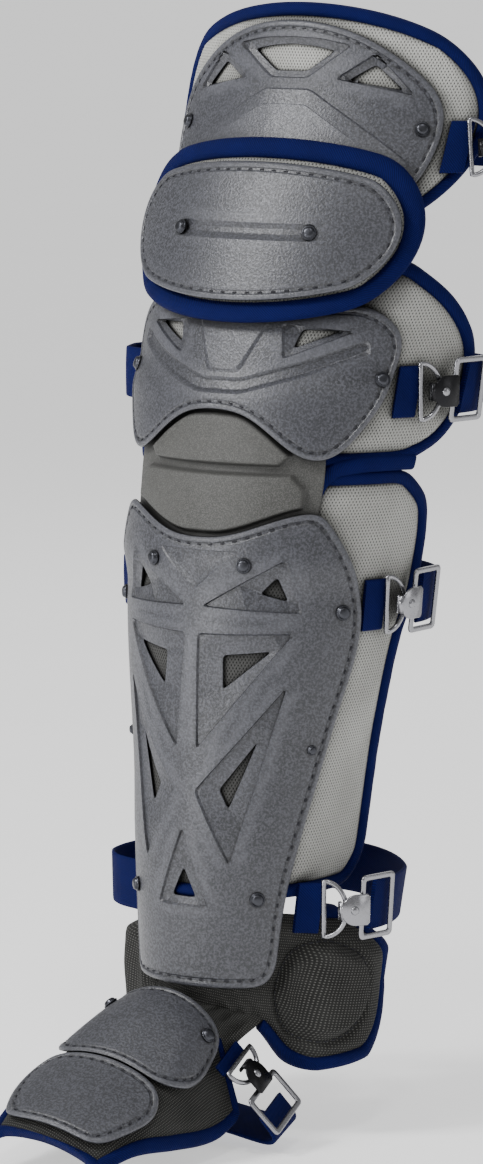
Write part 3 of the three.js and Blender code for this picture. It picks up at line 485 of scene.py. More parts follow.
def moulded_foam():
    n = Nodes("grey_foam", linear(80, 80, 78), 0.55, Specular_IOR_Level=0.35)
    grain = n.noise(scale=1400, detail=2.0, roughness=0.6)
    cloud = n.noise(scale=25, detail=3.0)
    base = n.blend(n.ranged(cloud, low=0.3, high=0.7), linear(62, 62, 60), linear(72, 72, 70))
    speckled = n.blend(n.ranged(grain, low=0.45, high=0.65), base, linear(90, 90, 88))
    n.color(n.shaded(speckled, distance=0.012, deep=linear(16, 16, 16)))
    n.bump(grain, strength=0.4, distance=0.0003)
    return n.material


def metal(name, color, roughness, metallic=1.0):
    n = Nodes(name, color, roughness, metallic)
    scratches = n.noise(scale=500, detail=4.0, roughness=0.7)
    n.roughness(n.ranged(scratches, low=0.3, high=0.7, new_low=roughness * 0.75, new_high=roughness * 1.5))
    n.bump(scratches, strength=0.08, distance=0.0002)
    return n.material


def stage_paint():
    n = Nodes("pale_floor", linear(244, 244, 244), 0.9, Emission_Color=(1, 1, 1, 1), Emission_Strength=0.62)
    cloud = n.noise(scale=3, detail=2.0)
    n.color(n.blend(n.ranged(cloud, low=0.3, high=0.7), linear(243, 243, 243), linear(246, 246, 246)))
    return n.material


PLASTIC = plastic()
KNIT = knit("grey_mesh", linear(160, 160, 156), linear(176, 176, 172), linear(82, 82, 80))
DARK_KNIT = knit("charcoal_mesh", linear(66, 66, 65), linear(76, 76, 75), linear(24, 24, 24))
NAVY = twill("navy_twill", linear(1, 5, 44), linear(5, 18, 90))
WEAVE = open_weave()
FOAM_SKIN = moulded_foam()
NICKEL = metal("nickel", linear(150, 150, 154), 0.24)
BLACK = metal("black_steel", linear(26, 26, 29), 0.28, 0.7)
RIVET = metal("rivet_steel", linear(70, 71, 76), 0.32)
THREAD = twill("grey_thread", linear(38, 38, 42), linear(70, 70, 76), 0.6)


# Meshes
def mesh_piece(name, points, faces, material, laid=None):
    """A mesh in the frame's metres. laid holds each point's place on the cloth, in metres."""
    mesh = bpy.data.meshes.new(name)
    mesh.from_pydata([placed(p) for p in points], [], faces)
    mesh.materials.append(material)
    mesh.polygons.foreach_set("use_smooth", [True] * len(mesh.polygons))
    if laid is not None:
        layer = mesh.uv_layers.new(name="laid")
        for loop in mesh.loops:
            layer.data[loop.index].uv = laid[loop.vertex_index]
    mesh.update()
    piece = bpy.data.objects.new(name, mesh)
    bpy.context.collection.objects.link(piece)
    return piece


def settle(piece, nodes=()):
    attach(piece, "root")
    if nodes:
        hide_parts(*nodes)
    return piece


def modify(piece, kind, **settings):
    modifier = piece.modifiers.new(kind.lower(), kind)
    for key, value in settings.items():
        setattr(modifier, key, value)
    return modifier


def sharpen(piece, angle):
    """Marks the edges that turn more than the angle, so that they stay crisp."""
    bpy.context.view_layer.objects.active = piece
    piece.select_set(True)
    bpy.ops.object.shade_smooth_by_angle(angle=math.radians(angle))
    piece.select_set(False)


Spot = namedtuple("Spot", "u v s t edge")
Grid = namedtuple("Grid", "columns rows spots")


def patch(columns, rows, half, bottom, top, sides=None, rounding=0.0):
    """The grid of places of a piece, as its solid has them. edge is the distance to the border."""
    spots = []
    for j in range(rows + 1):
        for i in range(columns + 1):
            across = 2 * i / columns - 1
            up = 2 * j / rows - 1
            s = across * math.sqrt(1 - rounding * up * up / 2)
            t = (1 + up * math.sqrt(1 - rounding * across * across / 2)) / 2
            width = (read(sides, t) if sides else 1) * half
            low = bottom(s) if callable(bottom) else bottom
            high = top(s) if callable(top) else top
            edge = min((1 - abs(across)) * width, (1 - abs(up)) * (high - low) / 2)
            spots.append(Spot(s * width, low + t * (high - low), s, t, edge))
    return Grid(columns, rows, spots)


def border(grid):
    """The grid's border, as numbers of its places."""
    columns, rows, _ = grid
    line = columns + 1
    loop = list(range(columns))
    loop += [j * line + columns for j in range(rows)]
    loop += [rows * line + i for i in range(columns, 0, -1)]
    loop += [j * line for j in range(rows, 0, -1)]
    return loop


def border_places(grid):
    return [(grid.spots[k].u, grid.spots[k].v) for k in border(grid)]


def ring_faces(rings, sides, start=0, closed=False, capped=True, outward=True):
    """Faces between rings of points, and over the two ends of an open row of rings."""
    faces = []
    for k in range(rings if closed else rings - 1):
        a = start + k * sides
        b = start + (k + 1) % rings * sides
        for i in range(sides):
            j = (i + 1) % sides
            faces.append([a + i, b + i, b + j, a + j])
    if capped and not closed:
        last = start + (rings - 1) * sides
        faces.append(list(range(start, start + sides)))
        faces.append(list(range(last, last + sides))[::-1])
    return faces if outward else [face[:1] + face[:0:-1] for face in faces]


def wall(name, grid, wrap, inner, outer, material):
    """A closed wall over a grid between two offsets, each a number or a function of the place."""
    columns, rows, spots = grid
    count, line = len(spots), columns + 1
    depth = [f if callable(f) else (lambda spot, f=f: f) for f in (inner, outer)]
    points = [wrap(p.u, p.v, f(p)) for f in depth for p in spots]
    faces = []
    for j in range(rows):
        for i in range(columns):
            a = j * line + i
            quad = [a, a + 1, a + line + 1, a + line]
            faces.append(quad[::-1])
            faces.append([k + count for k in quad])
    loop = border(grid)
    for k, a in enumerate(loop):
        b = loop[(k + 1) % len(loop)]
        faces.append([a, b, b + count, a + count])
    laid = [(p.u / 1000, p.v / 1000) for p in spots] * 2
    return mesh_piece(name, points, faces, material, laid)


def resampled(loop, step):
    """A closed outline with its points a step apart."""
    points = [np.array(p, float) for p in loop]
    points.append(points[0])
    lengths = [np.linalg.norm(b - a) for a, b in zip(points, points[1:])]
    total = sum(lengths)
    count = max(int(round(total / step)), 8)
    result = []
    k, done = 0, 0.0
    for i in range(count):
        goal = total * i / count
        while k < len(lengths) - 1 and done + lengths[k] <= goal:
            done += lengths[k]
            k += 1
        share = (goal - done) / max(lengths[k], 1e-9)
        result.append(points[k] + (points[k + 1] - points[k]) * min(share, 1))
    return np.array(result)


def rounded(loop, step, passes):
    """A closed outline with its corners eased, more so with more passes."""
    points = resampled(loop, step)
    for _ in range(passes):
        points = points * 0.5 + (np.roll(points, 1, 0) + np.roll(points, -1, 0)) * 0.25
    return points


def inset(loop, distance):
    """The outline moved inward, where it runs anticlockwise."""
    along = np.roll(loop, -1, 0) - np.roll(loop, 1, 0)
    along /= np.linalg.norm(along, axis=1)[:, None] + 1e-9
    return loop + np.stack([-along[:, 1], along[:, 0]], 1) * distance


def shrunk(loop, distance):
    """A convex outline drawn in towards its middle, which keeps its corners apart."""
    centre = loop.mean(0)
    reach = np.linalg.norm(loop - centre, axis=1).mean()
    return centre + (loop - centre) * (1 - distance / reach)


def anticlockwise(loop):
    x, y = loop[:, 0], loop[:, 1]
    area = np.sum(x * np.roll(y, -1) - np.roll(x, -1) * y)
    return loop if area > 0 else loop[::-1]


def inside(points, loop):
    """Which of the points lie in the outline."""
    x, y = points[:, 0][:, None], points[:, 1][:, None]
    ax, ay = loop[:, 0][None, :], loop[:, 1][None, :]
    bx, by = np.roll(loop[:, 0], -1)[None, :], np.roll(loop[:, 1], -1)[None, :]
    crosses = (ay > y) != (by > y)
    run = np.where(by == ay, 1e-9, by - ay)
    at = ax + (y - ay) * (bx - ax) / run
    return (np.sum(crosses & (x < at), axis=1) % 2) == 1


# How the edge of a plate is formed: distance from the edge and height over the face
RIM = [
    (0.0, -1.3), (0.35, -0.45), (1.0, 0.1), (2.2, 0.35), (3.0, 0.2), (3.7, -0.45), (4.9, -0.5), (5.7, -0.05),
    (7.0, 0.0),
]
RIM_STITCH = 4.3
# A feature's bevel: how far in its top edge is and how deep, as a share, then the same for its foot
BEVEL_TOP_IN = 1.1
BEVEL_TOP_DEPTH = 0.42
BEVEL_FOOT_OUT = 0.5
BEVEL_FOOT_DEPTH = 0.9
POCKET_DEPTH = -3.1
CHANNEL_END = 0.6
# The skin's open face: the height of a row as a share of the spacing, and its distance from rim and features
LATTICE_ROW = 0.87
RIM_CLEAR = 1.5
FEATURE_CLEAR = 1.8
SHELL_THICKNESS = 3.3

Feature = namedtuple("Feature", "rim floor depth hole eased")


def pocket(corners, size, side=1):
    """A bevelled pocket whose hole goes through the plate."""
    half, low, length = side * size["half"], size["bottom"], size["length"]
    rim, hole = [anticlockwise(np.array([(x * half, low + y * length) for x, y in row])) for row in corners]
    return Feature(rounded(rim, 1.5, 3), rounded(hole, 1.3, 3), POCKET_DEPTH, True, shrunk)


def shelf(corners, height):
    """A flat part that stands over the plate's face, or under it, with a slope round it."""
    rim, floor = [anticlockwise(np.array(row, float)) for row in corners]
    return Feature(rounded(rim, 1.6, 3), rounded(floor, 1.6, 3), height, False, shrunk)


def channel(path, half_width, depth, slope):
    """A long hollow along a line of places: half_width at its face, narrower by the slope at its floor."""
    path = np.array(path, float)
    last = len(path) - 1

    def around(width):
        left, right = [], []
        for k, p in enumerate(path):
            along = path[min(k + 1, last)] - path[max(k - 1, 0)]
            along /= np.linalg.norm(along)
            across = np.array([-along[1], along[0]]) * width
            past = along * width * CHANNEL_END * {0: -1, last: 1}.get(k, 0)
            left.append(p + across + past)
            right.append(p - across + past)
        return rounded(anticlockwise(np.array(left + right[::-1])), 1.6, 4)

    return Feature(around(half_width), around(half_width - slope), depth, False, inset)


def skin_loops(outline, features):
    """The lines of a plate's skin: their points, the heights over its face and the edges between points."""
    rows = [(inset(outline, distance), height) for distance, height in RIM]
    for f in features:
        rows.append((f.rim, 0.0))
        rows.append((f.eased(f.rim, BEVEL_TOP_IN), BEVEL_TOP_DEPTH * f.depth))
        rows.append((f.eased(f.floor, -BEVEL_FOOT_OUT), BEVEL_FOOT_DEPTH * f.depth))
        rows.append((f.floor, f.depth))
    points, heights, edges = [], [], []
    for loop, height in rows:
        start, count = len(points), len(loop)
        points += [tuple(p) for p in loop]
        heights += [height] * count
        edges += [(start + i, start + (i + 1) % count) for i in range(count)]
    return points, heights, edges


def open_face(outline, features, spacing):
    """Places spread over a plate's face, clear of its rim and features."""
    low, high = outline.min(0), outline.max(0)
    rows = np.arange(low[1], high[1], spacing * LATTICE_ROW)
    columns = np.arange(low[0], high[0], spacing)
    lattice = np.array([(x + spacing / 2 * (j % 2), y) for j, y in enumerate(rows) for x in columns])
    keep = inside(lattice, inset(outline, RIM[-1][0] + RIM_CLEAR))
    for f in features:
        keep &= ~inside(lattice, inset(f.rim, -FEATURE_CLEAR))
    return lattice[keep]


def plate_piece(name, outline, features, wrap, face, node, spacing=4.5):
    """A moulded plate: outline, rim and features joined in one skin, given its thickness and its stitches."""
    points, heights, edges = skin_loops(outline, features)
    lattice = open_face(outline, features, spacing)
    points += [tuple(p) for p in lattice]
    heights += [0.0] * len(lattice)
    flat = [Vector((float(x), float(y))) for x, y in points]
    out_points, _, out_faces, origins, _, _ = delaunay_2d_cdt(flat, edges, [], 0, 1e-4)
    places = np.array([(p.x, p.y) for p in out_points])
    raised = [heights[o[0]] if o else 0.0 for o in origins]
    middles = np.array([places[list(f)].mean(0) for f in out_faces])
    shown = inside(middles, outline)
    for f in features:
        if f.hole:
            shown &= ~inside(middles, f.floor)
    faces = [list(f) for f, ok in zip(out_faces, shown) if ok]
    used = sorted({k for f in faces for k in f})
    index = {k: i for i, k in enumerate(used)}
    solid = [wrap(places[k][0], places[k][1], face + raised[k]) for k in used]
    laid = [(places[k][0] / 1000, places[k][1] / 1000) for k in used]
    piece = mesh_piece(name, solid, [[index[k] for k in f] for f in faces], PLASTIC, laid)
    sharpen(piece, 11)
    modify(piece, "SOLIDIFY", thickness=SHELL_THICKNESS / 1000, offset=-1)
    modify(piece, "WEIGHTED_NORMAL", keep_sharp=True)
    settle(piece, (node,))
    stitches(f"{name}_stitches", inset(outline, RIM_STITCH), wrap, face - STITCH_SUNK)


def tube(name, rings, closed, material, laid_width):
    """A tube of rings with the same count of points."""
    sides = len(rings[0])
    laid, run, middle = [], 0.0, None
    for ring in rings:
        centre = sum(ring, Vector()) / sides
        run += (centre - middle).length if middle else 0.0
        middle = centre
        laid += [(run / 1000, laid_width * i / sides / 1000) for i in range(sides)]
    points = [p for ring in rings for p in ring]
    return mesh_piece(name, points, ring_faces(len(rings), sides, closed=closed), material, laid)


# A thread's place along its length and its share of the radius there
STITCH_PROFILE = [(-0.5, 0.25), (-0.38, 0.9), (0.0, 1.0), (0.38, 0.9), (0.5, 0.25)]
STITCH_SIDES = 6
STITCH_SUNK = 0.35


def stitches(name, loop, wrap, d, pitch=6.8, length=2.8, radius=0.4):
    """Short threads along an outline, with their ends pulled in."""
    spots = resampled(loop, pitch)
    points, faces, laid = [], [], []
    for k, spot in enumerate(spots):
        along = spots[(k + 1) % len(spots)] - spot
        along /= np.linalg.norm(along) + 1e-9
        across = np.array([-along[1], along[0]])
        faces += ring_faces(len(STITCH_PROFILE), STITCH_SIDES, start=len(points))
        for at, size in STITCH_PROFILE:
            sunk = STITCH_SUNK if abs(at) == 0.5 else 0
            for i in range(STITCH_SIDES):
                turn = 2 * math.pi * i / STITCH_SIDES
                place = spot + along * at * length + across * radius * size * math.cos(turn)
                points.append(wrap(place[0], place[1], d + radius * size * math.sin(turn) - sunk))
                laid.append((at * length / 1000, i / STITCH_SIDES / 1000))
    settle(mesh_piece(name, points, faces, THREAD, laid))


# Tape: how far it laps over the pad and how far past the pad's edge its fold goes, beyond its own width
TAPE_LAP = 1.6
TAPE_PAST = 2.0
TAPE_SIDES = 14
TAPE_SQUARENESS = 2.6
RIPPLE = 0.05
RIPPLE_LENGTH = 9


def open_run(grid, keep):
    """The one stretch of the border whose places are kept."""
    loop = np.array(border_places(grid))
    kept = [keep(grid.spots[k]) for k in border(grid)]
    count = len(loop)
    first = next(k for k in range(count) if kept[k] and not kept[k - 1])
    order = [(first + i) % count for i in range(count)]
    length = next((i for i, k in enumerate(order) if not kept[k]), count)
    return loop[order[:length]]


def binding_piece(name, grid, wrap, width, depth, middle, node, keep=None):
    """Folded tape round the border of a pad, or along the part of it that keep names."""
    run = open_run(grid, keep) if keep else rounded(border_places(grid), 3.0, 5)
    along = np.roll(run, -1, 0) - np.roll(run, 1, 0)
    if keep:
        along[0] = run[1] - run[0]
        along[-1] = run[-1] - run[-2]
    along /= np.linalg.norm(along, axis=1)[:, None] + 1e-9
    rings = []
    for (u, v), (du, dv) in zip(run, along):
        ring = []
        ripple = 1 + RIPPLE * noise.noise(Vector((u / RIPPLE_LENGTH, v / RIPPLE_LENGTH, width)))
        for i in range(TAPE_SIDES):
            turn = 2 * math.pi * i / TAPE_SIDES
            c, s = math.cos(turn), math.sin(turn)
            square = (abs(c) ** TAPE_SQUARENESS + abs(s) ** TAPE_SQUARENESS) ** (-1 / TAPE_SQUARENESS)
            reach = (width + TAPE_PAST) / 2 * (1 + c * square) - TAPE_LAP
            ring.append(wrap(u + dv * reach, v - du * reach, middle + depth / 2 * s * square * ripple))
        rings.append(ring)
    settle(tube(name, rings, keep is None, NAVY, 2 * (width + depth)), (node,))


def crowned(face, depth, reach):
    """A pad's face, drawn in towards its border."""
    return lambda spot: face - depth * (1 - smooth(spot.edge, 0, reach)) ** 1.6


def place_basis(wrap, u, v, d):
    """The place and turn of something that lies on a wrap: x along it, y up it, z out of it."""
    step = 0.5
    along = (wrap(u + step, v, d) - wrap(u - step, v, d)).normalized()
    up = wrap(u, v + step, d) - wrap(u, v - step, d)
    out = along.cross(up).normalized()
    turn = Matrix((along, out.cross(along), out)).transposed()
    return Matrix.Translation(wrap(u, v, d)) @ turn.to_4x4()


def lathe(name, profile, matrix, material, sides=20):
    """A turned piece: profile rows of radius and height, from the axis to the axis."""
    turns = [2 * math.pi * i / sides for i in range(sides)]
    points = [matrix @ Vector((r * math.cos(a), r * math.sin(a), h)) for r, h in profile for a in turns]
    laid = [(p.x / 1000, p.z / 1000) for p in points]
    return mesh_piece(name, points, ring_faces(len(profile), sides, outward=False), material, laid)


# Radius and height shares of a rivet's head, with its turned-in foot
RIVET_PROFILE = [
    (0.90, -0.25), (1.00, 0.0), (1.00, 0.10), (0.93, 0.24), (0.84, 0.26), (0.80, 0.34), (0.76, 0.62),
    (0.62, 0.86), (0.40, 0.98), (0.16, 1.0),
]

STUD_PROFILE = [(0.9, -0.1), (1.0, 0.0), (0.97, 0.25), (0.8, 0.6), (0.5, 0.85), (0.15, 0.95)]


def rivet_piece(name, wrap, u, v, face, nodes, size=1.0):
    matrix = place_basis(wrap, u, v, face + GAP * size)
    profile = [(r * RIVET_RADIUS * size, h * RIVET_HEIGHT * size) for r, h in RIVET_PROFILE]
    piece = lathe(f"{name}_head", profile, matrix, RIVET)
    sharpen(piece, 40)
    settle(piece, nodes)


def flat_faces(points, loops, up):
    """Faces that fill the first loop, apart from the loops inside it."""
    names = [k for loop in loops for k in loop]
    flat = [Vector((points[k].x, points[k].y)) for k in names]
    edges, start = [], 0
    for loop in loops:
        edges += [(start + i, start + (i + 1) % len(loop)) for i in range(len(loop))]
        start += len(loop)
    verts, _, triangles, origins, _, _ = delaunay_2d_cdt(flat, edges, [], 0, 1e-5)
    places = np.array([(p.x, p.y) for p in verts])
    middles = np.array([places[list(t)].mean(0) for t in triangles])
    outlines = [np.array([(points[k].x, points[k].y) for k in loop]) for loop in loops]
    shown = inside(middles, outlines[0])
    for hole in outlines[1:]:
        shown &= ~inside(middles, hole)
    faces = [[names[origins[k][0]] for k in t] for t, ok in zip(triangles, shown) if ok]
    return faces if up else [face[::-1] for face in faces]


def slab(name, outlines, thickness, matrix, material, ease=0.45):
    """A flat piece cut from sheet, with eased edges: its outline, then its hole if it has one."""
    rows = [(ease, 0), (0, ease), (0, thickness - ease), (ease, thickness)]
    points, faces, bottoms, tops = [], [], [], []
    for which, outline in enumerate(outlines):
        loop = anticlockwise(np.array(outline, float))
        count, start = len(loop), len(points)
        for distance, height in rows:
            inward = -distance if which else distance
            points += [Vector((x, y, height)) for x, y in inset(loop, inward)]
        faces += ring_faces(len(rows), count, start, capped=False, outward=bool(which))
        bottoms.append(list(range(start, start + count)))
        tops.append(list(range(len(points) - count, len(points))))
    faces += flat_faces(points, bottoms, False) + flat_faces(points, tops, True)
    points = [matrix @ p for p in points]
    laid = [(p.x / 1000, p.z / 1000) for p in points]
    piece = mesh_piece(name, points, faces, material, laid)
    sharpen(piece, 50)
    return piece


def round_box(width, height, corner, steps=5):
    """A rectangle with round corners, about the middle."""
    loop = []
    for cx, cy, start in ((1, 1, 0), (-1, 1, 90), (-1, -1, 180), (1, -1, 270)):
        for k in range(steps + 1):
            turn = math.radians(start + 90 * k / steps)
            x = cx * (width / 2 - corner) + corner * math.cos(turn)
            y = cy * (height / 2 - corner) + corner * math.sin(turn)
            loop.append((x, y))
    return loop


def wire(name, centres, radius, matrix, material):
    """A closed round wire through points of the plane that the matrix places."""
    turns = [2 * math.pi * i / WIRE_SIDES for i in range(WIRE_SIDES)]
    rings = []
    for k, centre in enumerate(centres):
        along = (Vector(centres[(k + 1) % len(centres)]) - Vector(centres[k - 1])).normalized()
        side = Vector((along.y, -along.x, 0)).normalized()
        up = side.cross(along)
        ring = [Vector(centre) + (side * math.cos(a) + up * math.sin(a)) * radius for a in turns]
        rings.append([matrix @ p for p in ring])
    return tube(name, rings, True, material, 2 * math.pi * radius)


def ring_piece(name, matrix):
    """A dee ring: a bow of wire closed by a straight bar."""
    bow = WEBBING_WIDTH / 2 + RING_WIRE
    turns = [math.pi * (k / BOW_STEPS - 0.5) for k in range(BOW_STEPS + 1)]
    path = [(RING_DEPTH * math.cos(a), bow * math.sin(a), 0) for a in turns]
    path += [(0, bow * (1 - 2 * k / BAR_STEPS), 0) for k in range(1, BAR_STEPS)]
    settle(wire(f"{name}_dee", path, RING_WIRE, matrix, NICKEL), (f"{name}_ring",))


def slide_piece(name, matrix):
    height = WEBBING_WIDTH + 2 * FRAME_BAR + 2
    outer = round_box(FRAME_WIDTH, height, 3.0)
    hole = round_box(FRAME_WIDTH - 2 * FRAME_BAR, height - 2 * FRAME_BAR, 1.2)
    piece = slab(f"{name}_slide", [outer, hole], FRAME_THICKNESS, matrix, NICKEL)
    settle(piece, (f"{name}_frame",))


def clasp_piece(name, matrix, material):
    """The spring leaf, its rivet and the hook that its end curls into."""
    half, end = LEAF_WIDTH / 2, LEAF_LENGTH / 2
    turns = [math.pi * (0.5 + k / 16) for k in range(17)]
    outline = [(end, LEAF_CORNER - half), (end, half - LEAF_CORNER), (end - LEAF_CORNER, half)]
    outline += [(half * math.cos(a), half * math.sin(a)) for a in turns]
    outline.append((end - LEAF_CORNER, -half))
    leaf = slab(f"{name}_clasp", [outline], LEAF_THICKNESS, matrix, material)
    settle(leaf, (f"{name}_leaf",))
    raised = matrix @ Matrix.Translation((-1.0, 0, LEAF_THICKNESS))
    profile = [(r * STUD_RADIUS, h * STUD_HEIGHT) for r, h in STUD_PROFILE]
    settle(lathe(f"{name}_clasp_rivet", profile, raised, NICKEL, 16))
    rings = []
    for k in range(HOOK_STEPS + 1):
        turn = math.pi * k / HOOK_STEPS
        x = 1.2 - half - HOOK_REACH * math.sin(turn)
        z = LEAF_THICKNESS / 2 - HOOK_DROP * (1 - math.cos(turn))
        rings.append([matrix @ Vector((x + dx, y, z + dz)) for y, dx, dz in HOOK_SECTION])
    settle(tube(f"{name}_clasp_hook", rings, False, material, 10))


def buckle(name, leaf_material, matrices):
    """Ring, frame and clasp leaf of one strap. matrices gives the place of each."""
    ring_piece(name, matrices["ring"])
    slide_piece(name, matrices["frame"])
    clasp_piece(name, matrices["leaf"], leaf_material)


# Plates
def outline_of(size, sides=None, rounding=0.0, bottom=None, top=None, passes=6):
    """The outline of a plate's solid, with its corners eased."""
    low = bottom or size["bottom"]
    high = top or size["bottom"] + size["length"]
    grid = patch(60, 60, size["half"], low, high, sides, rounding)
    return anticlockwise(rounded(border_places(grid), 2.2, passes))


def over_foam(v):
    rise = smooth(v, FOAM_BOTTOM - FOAM_LENGTH * 0.35, FOAM_BOTTOM - FOAM_LENGTH * 0.05)
    fall = smooth(v, FOAM_TOP + FOAM_LENGTH * 0.04, FOAM_TOP + FOAM_LENGTH * 0.3)
    return rise * (1 - fall) * (FOAM + FOAM_GAP)


def lifted(u, v, d):
    return leg_wrap(u, v, d + over_foam(v))


def spot_on(size, across, up):
    return across * size["half"], size["bottom"] + up * size["length"]


def rivets(plate, size, across, up, wrap, face, label=""):
    for side, sign in (("left", -1), ("right", 1)):
        u, v = spot_on(size, across, up)
        node = f"{plate}_rivet_{label}{side}"
        rivet_piece(node, wrap, sign * u, v, face, (node,))


def thigh_plate():
    def crown(s):
        return THIGH_PLATE["bottom"] + THIGH_PLATE["length"] - THIGH_CROWN_DROP * s * s

    outline = outline_of(THIGH_PLATE, THIGH_PLATE_SIDES, top=crown, passes=70)
    features = [pocket(THIGH_POCKET, THIGH_PLATE, side) for side in (1, -1)]
    features.append(pocket(THIGH_CROWN_POCKET, THIGH_PLATE))
    features.append(shelf(THIGH_STEP, 2.0))
    plate_piece("thigh_shell", outline, features, leg_wrap, PLATE_FACE, "thigh_plate")
    rivets("thigh", THIGH_PLATE, 0.86, 0.40, leg_wrap, PLATE_FACE)


def knee_plate():
    outline = outline_of(KNEE_PLATE, rounding=0.8)
    features = [channel(KNEE_GROOVE, 4.8, depth=-2.0, slope=3.4)]
    plate_piece("knee_shell", outline, features, leg_wrap, KNEE_PLATE_FACE, "knee_plate")
    rivets("knee", KNEE_PLATE, 0.46, 0.50, leg_wrap, KNEE_PLATE_FACE)


def lower_knee_plate():
    def lobes(s):
        return LOWER_KNEE_PLATE["bottom"] + read(LOBE_EDGE, abs(s)) * LOWER_KNEE_PLATE["length"]

    outline = outline_of(LOWER_KNEE_PLATE, LOWER_KNEE_PLATE_SIDES, bottom=lobes, passes=24)
    features = [pocket(LOWER_KNEE_POCKET, LOWER_KNEE_PLATE, side) for side in (1, -1)]
    features.append(channel(LOWER_KNEE_BAND, 4.6, depth=-1.9, slope=2.6))
    features.append(shelf(LOWER_KNEE_PANEL, 0.9))
    plate_piece("lower_knee_shell", outline, features, lifted, PLATE_FACE, "lower_knee_plate")
    rivets("lower_knee", LOWER_KNEE_PLATE, 0.91, 0.53, lifted, PLATE_FACE)


def shin_plate():
    def horns(s):
        return SHIN_PLATE["bottom"] + SHIN_PLATE["length"] - HORN_DIP * (1 - smooth(abs(s), *HORN_SPAN))

    outline = outline_of(SHIN_PLATE, SHIN_PLATE_SIDES, top=horns, passes=14)
    features = [pocket(row, SHIN_PLATE, side) for row in SHIN_POCKETS for side in (1, -1)]
    features.append(pocket(SHIN_FOOT_POCKET, SHIN_PLATE))
    features.append(shelf(SHIN_CHEVRON, -1.1))
    plate_piece("shin_shell", outline, features, lifted, PLATE_FACE, "shin_plate")
    for label, across, up in (("upper_", 0.30, 0.89), ("side_", 0.88, 0.79), ("low_", 0.44, 0.19)):
        rivets("shin", SHIN_PLATE, across, up, lifted, PLATE_FACE, label)
    for side, sign in (("left", -1), ("right", 1)):
        u, v = SMALL_RIVET_AT
        rivet_piece(f"shin_small_{side}", lifted, sign * u, v, PLATE_FACE, (), SMALL_RIVET_SIZE)


def foot_plates():
    face = FOOT_GAP + PLATE
    instep = {"bottom": INSTEP_START, "length": INSTEP_LENGTH, "half": FOOT_PLATE_HALF}
    toe = {"bottom": INSTEP_START + INSTEP_LENGTH + GAP, "length": TOE_LENGTH, "half": FOOT_PLATE_HALF}
    for name, size, sides in (("instep", instep, INSTEP_SIDES), ("toe", toe, TOE_SIDES)):
        outline = outline_of(size, sides, passes=22)
        plate_piece(f"{name}_shell", outline, [], foot_wrap, face, f"{name}_plate", 3.5)
    rivets("instep", instep, 0.66, 0.17, foot_wrap, face)


# Pads and foam
def darken_under_plate(piece):
    """The darker mesh of the shin pad's front, which shows through the shin plate's holes."""
    mesh = piece.data
    mesh.materials.append(DARK_KNIT)
    laid = mesh.uv_layers["laid"].data
    front = len(mesh.vertices) // 2
    top = SHIN_PLATE["bottom"] + SHIN_PLATE["length"] - HORN_DIP - DARK_BELOW_TOP
    for face in mesh.polygons:
        if min(face.vertices) < front:
            continue
        spots = [laid[k].uv * 1000 for k in face.loop_indices]
        across = sum(abs(spot.x) for spot in spots) / len(spots)
        height = sum(spot.y for spot in spots) / len(spots)
        share = (height - SHIN_PLATE["bottom"]) / SHIN_PLATE["length"]
        reach = read(SHIN_PLATE_SIDES, share) * SHIN_PLATE["half"] - DARK_INSIDE_EDGE
        face.material_index = int(across < reach and height < top)


def pad_grids():
    """Each leg pad's grid, its inner face and the width of its binding."""
    thigh_top = THIGH_PLATE["bottom"] + THIGH_PLATE["length"] + PAD_MARGIN
    knee_low = KNEE_PLATE["bottom"] - PAD_MARGIN
    knee_high = KNEE_PLATE["bottom"] + KNEE_PLATE["length"] + PAD_MARGIN
    lower_low = LOWER_KNEE_PAD["bottom"] + BINDING
    lower_high = LOWER_KNEE_PAD["bottom"] + LOWER_KNEE_PAD["length"]
    shin_low = SHIN_PAD["bottom"] + BINDING
    shin_high = SHIN_PAD["bottom"] + SHIN_PAD["length"] - BINDING
    thigh = patch(80, 44, THIGH_PAD_HALF, THIGH_PLATE["bottom"] - THIGH_PAD_DROP, thigh_top, rounding=0.94)
    knee = patch(70, 32, KNEE_PLATE["half"] + PAD_MARGIN, knee_low, knee_high, rounding=0.8)
    lower = patch(100, 36, LOWER_KNEE_PAD["half"], lower_low, lower_high, LOWER_KNEE_PAD_SIDES)
    shin = patch(90, 76, SHIN_PAD["half"], shin_low, shin_high, SHIN_PAD_SIDES)
    return (
        ("thigh", thigh, -PAD, BINDING), ("knee", knee, KNEE_PAD_INNER, KNEE_BINDING),
        ("lower_knee", lower, -PAD, BINDING), ("shin", shin, -PAD, BINDING),
    )


def leg_pads():
    for name, grid, inner, width in pad_grids():
        face = inner + PAD

        def back(spot, inner=inner):
            return inner + PAD_BACK_ROUND * (1 - smooth(spot.edge, 0, 8))

        piece = wall(f"{name}_cushion", grid, leg_wrap, back, crowned(face, 3.2, 11), KNIT)
        settle(piece, (f"{name}_pad",))
        if name == "shin":
            darken_under_plate(piece)
        binding_piece(f"{name}_tape", grid, leg_wrap, width, PAD, (inner + face) / 2, f"{name}_binding")


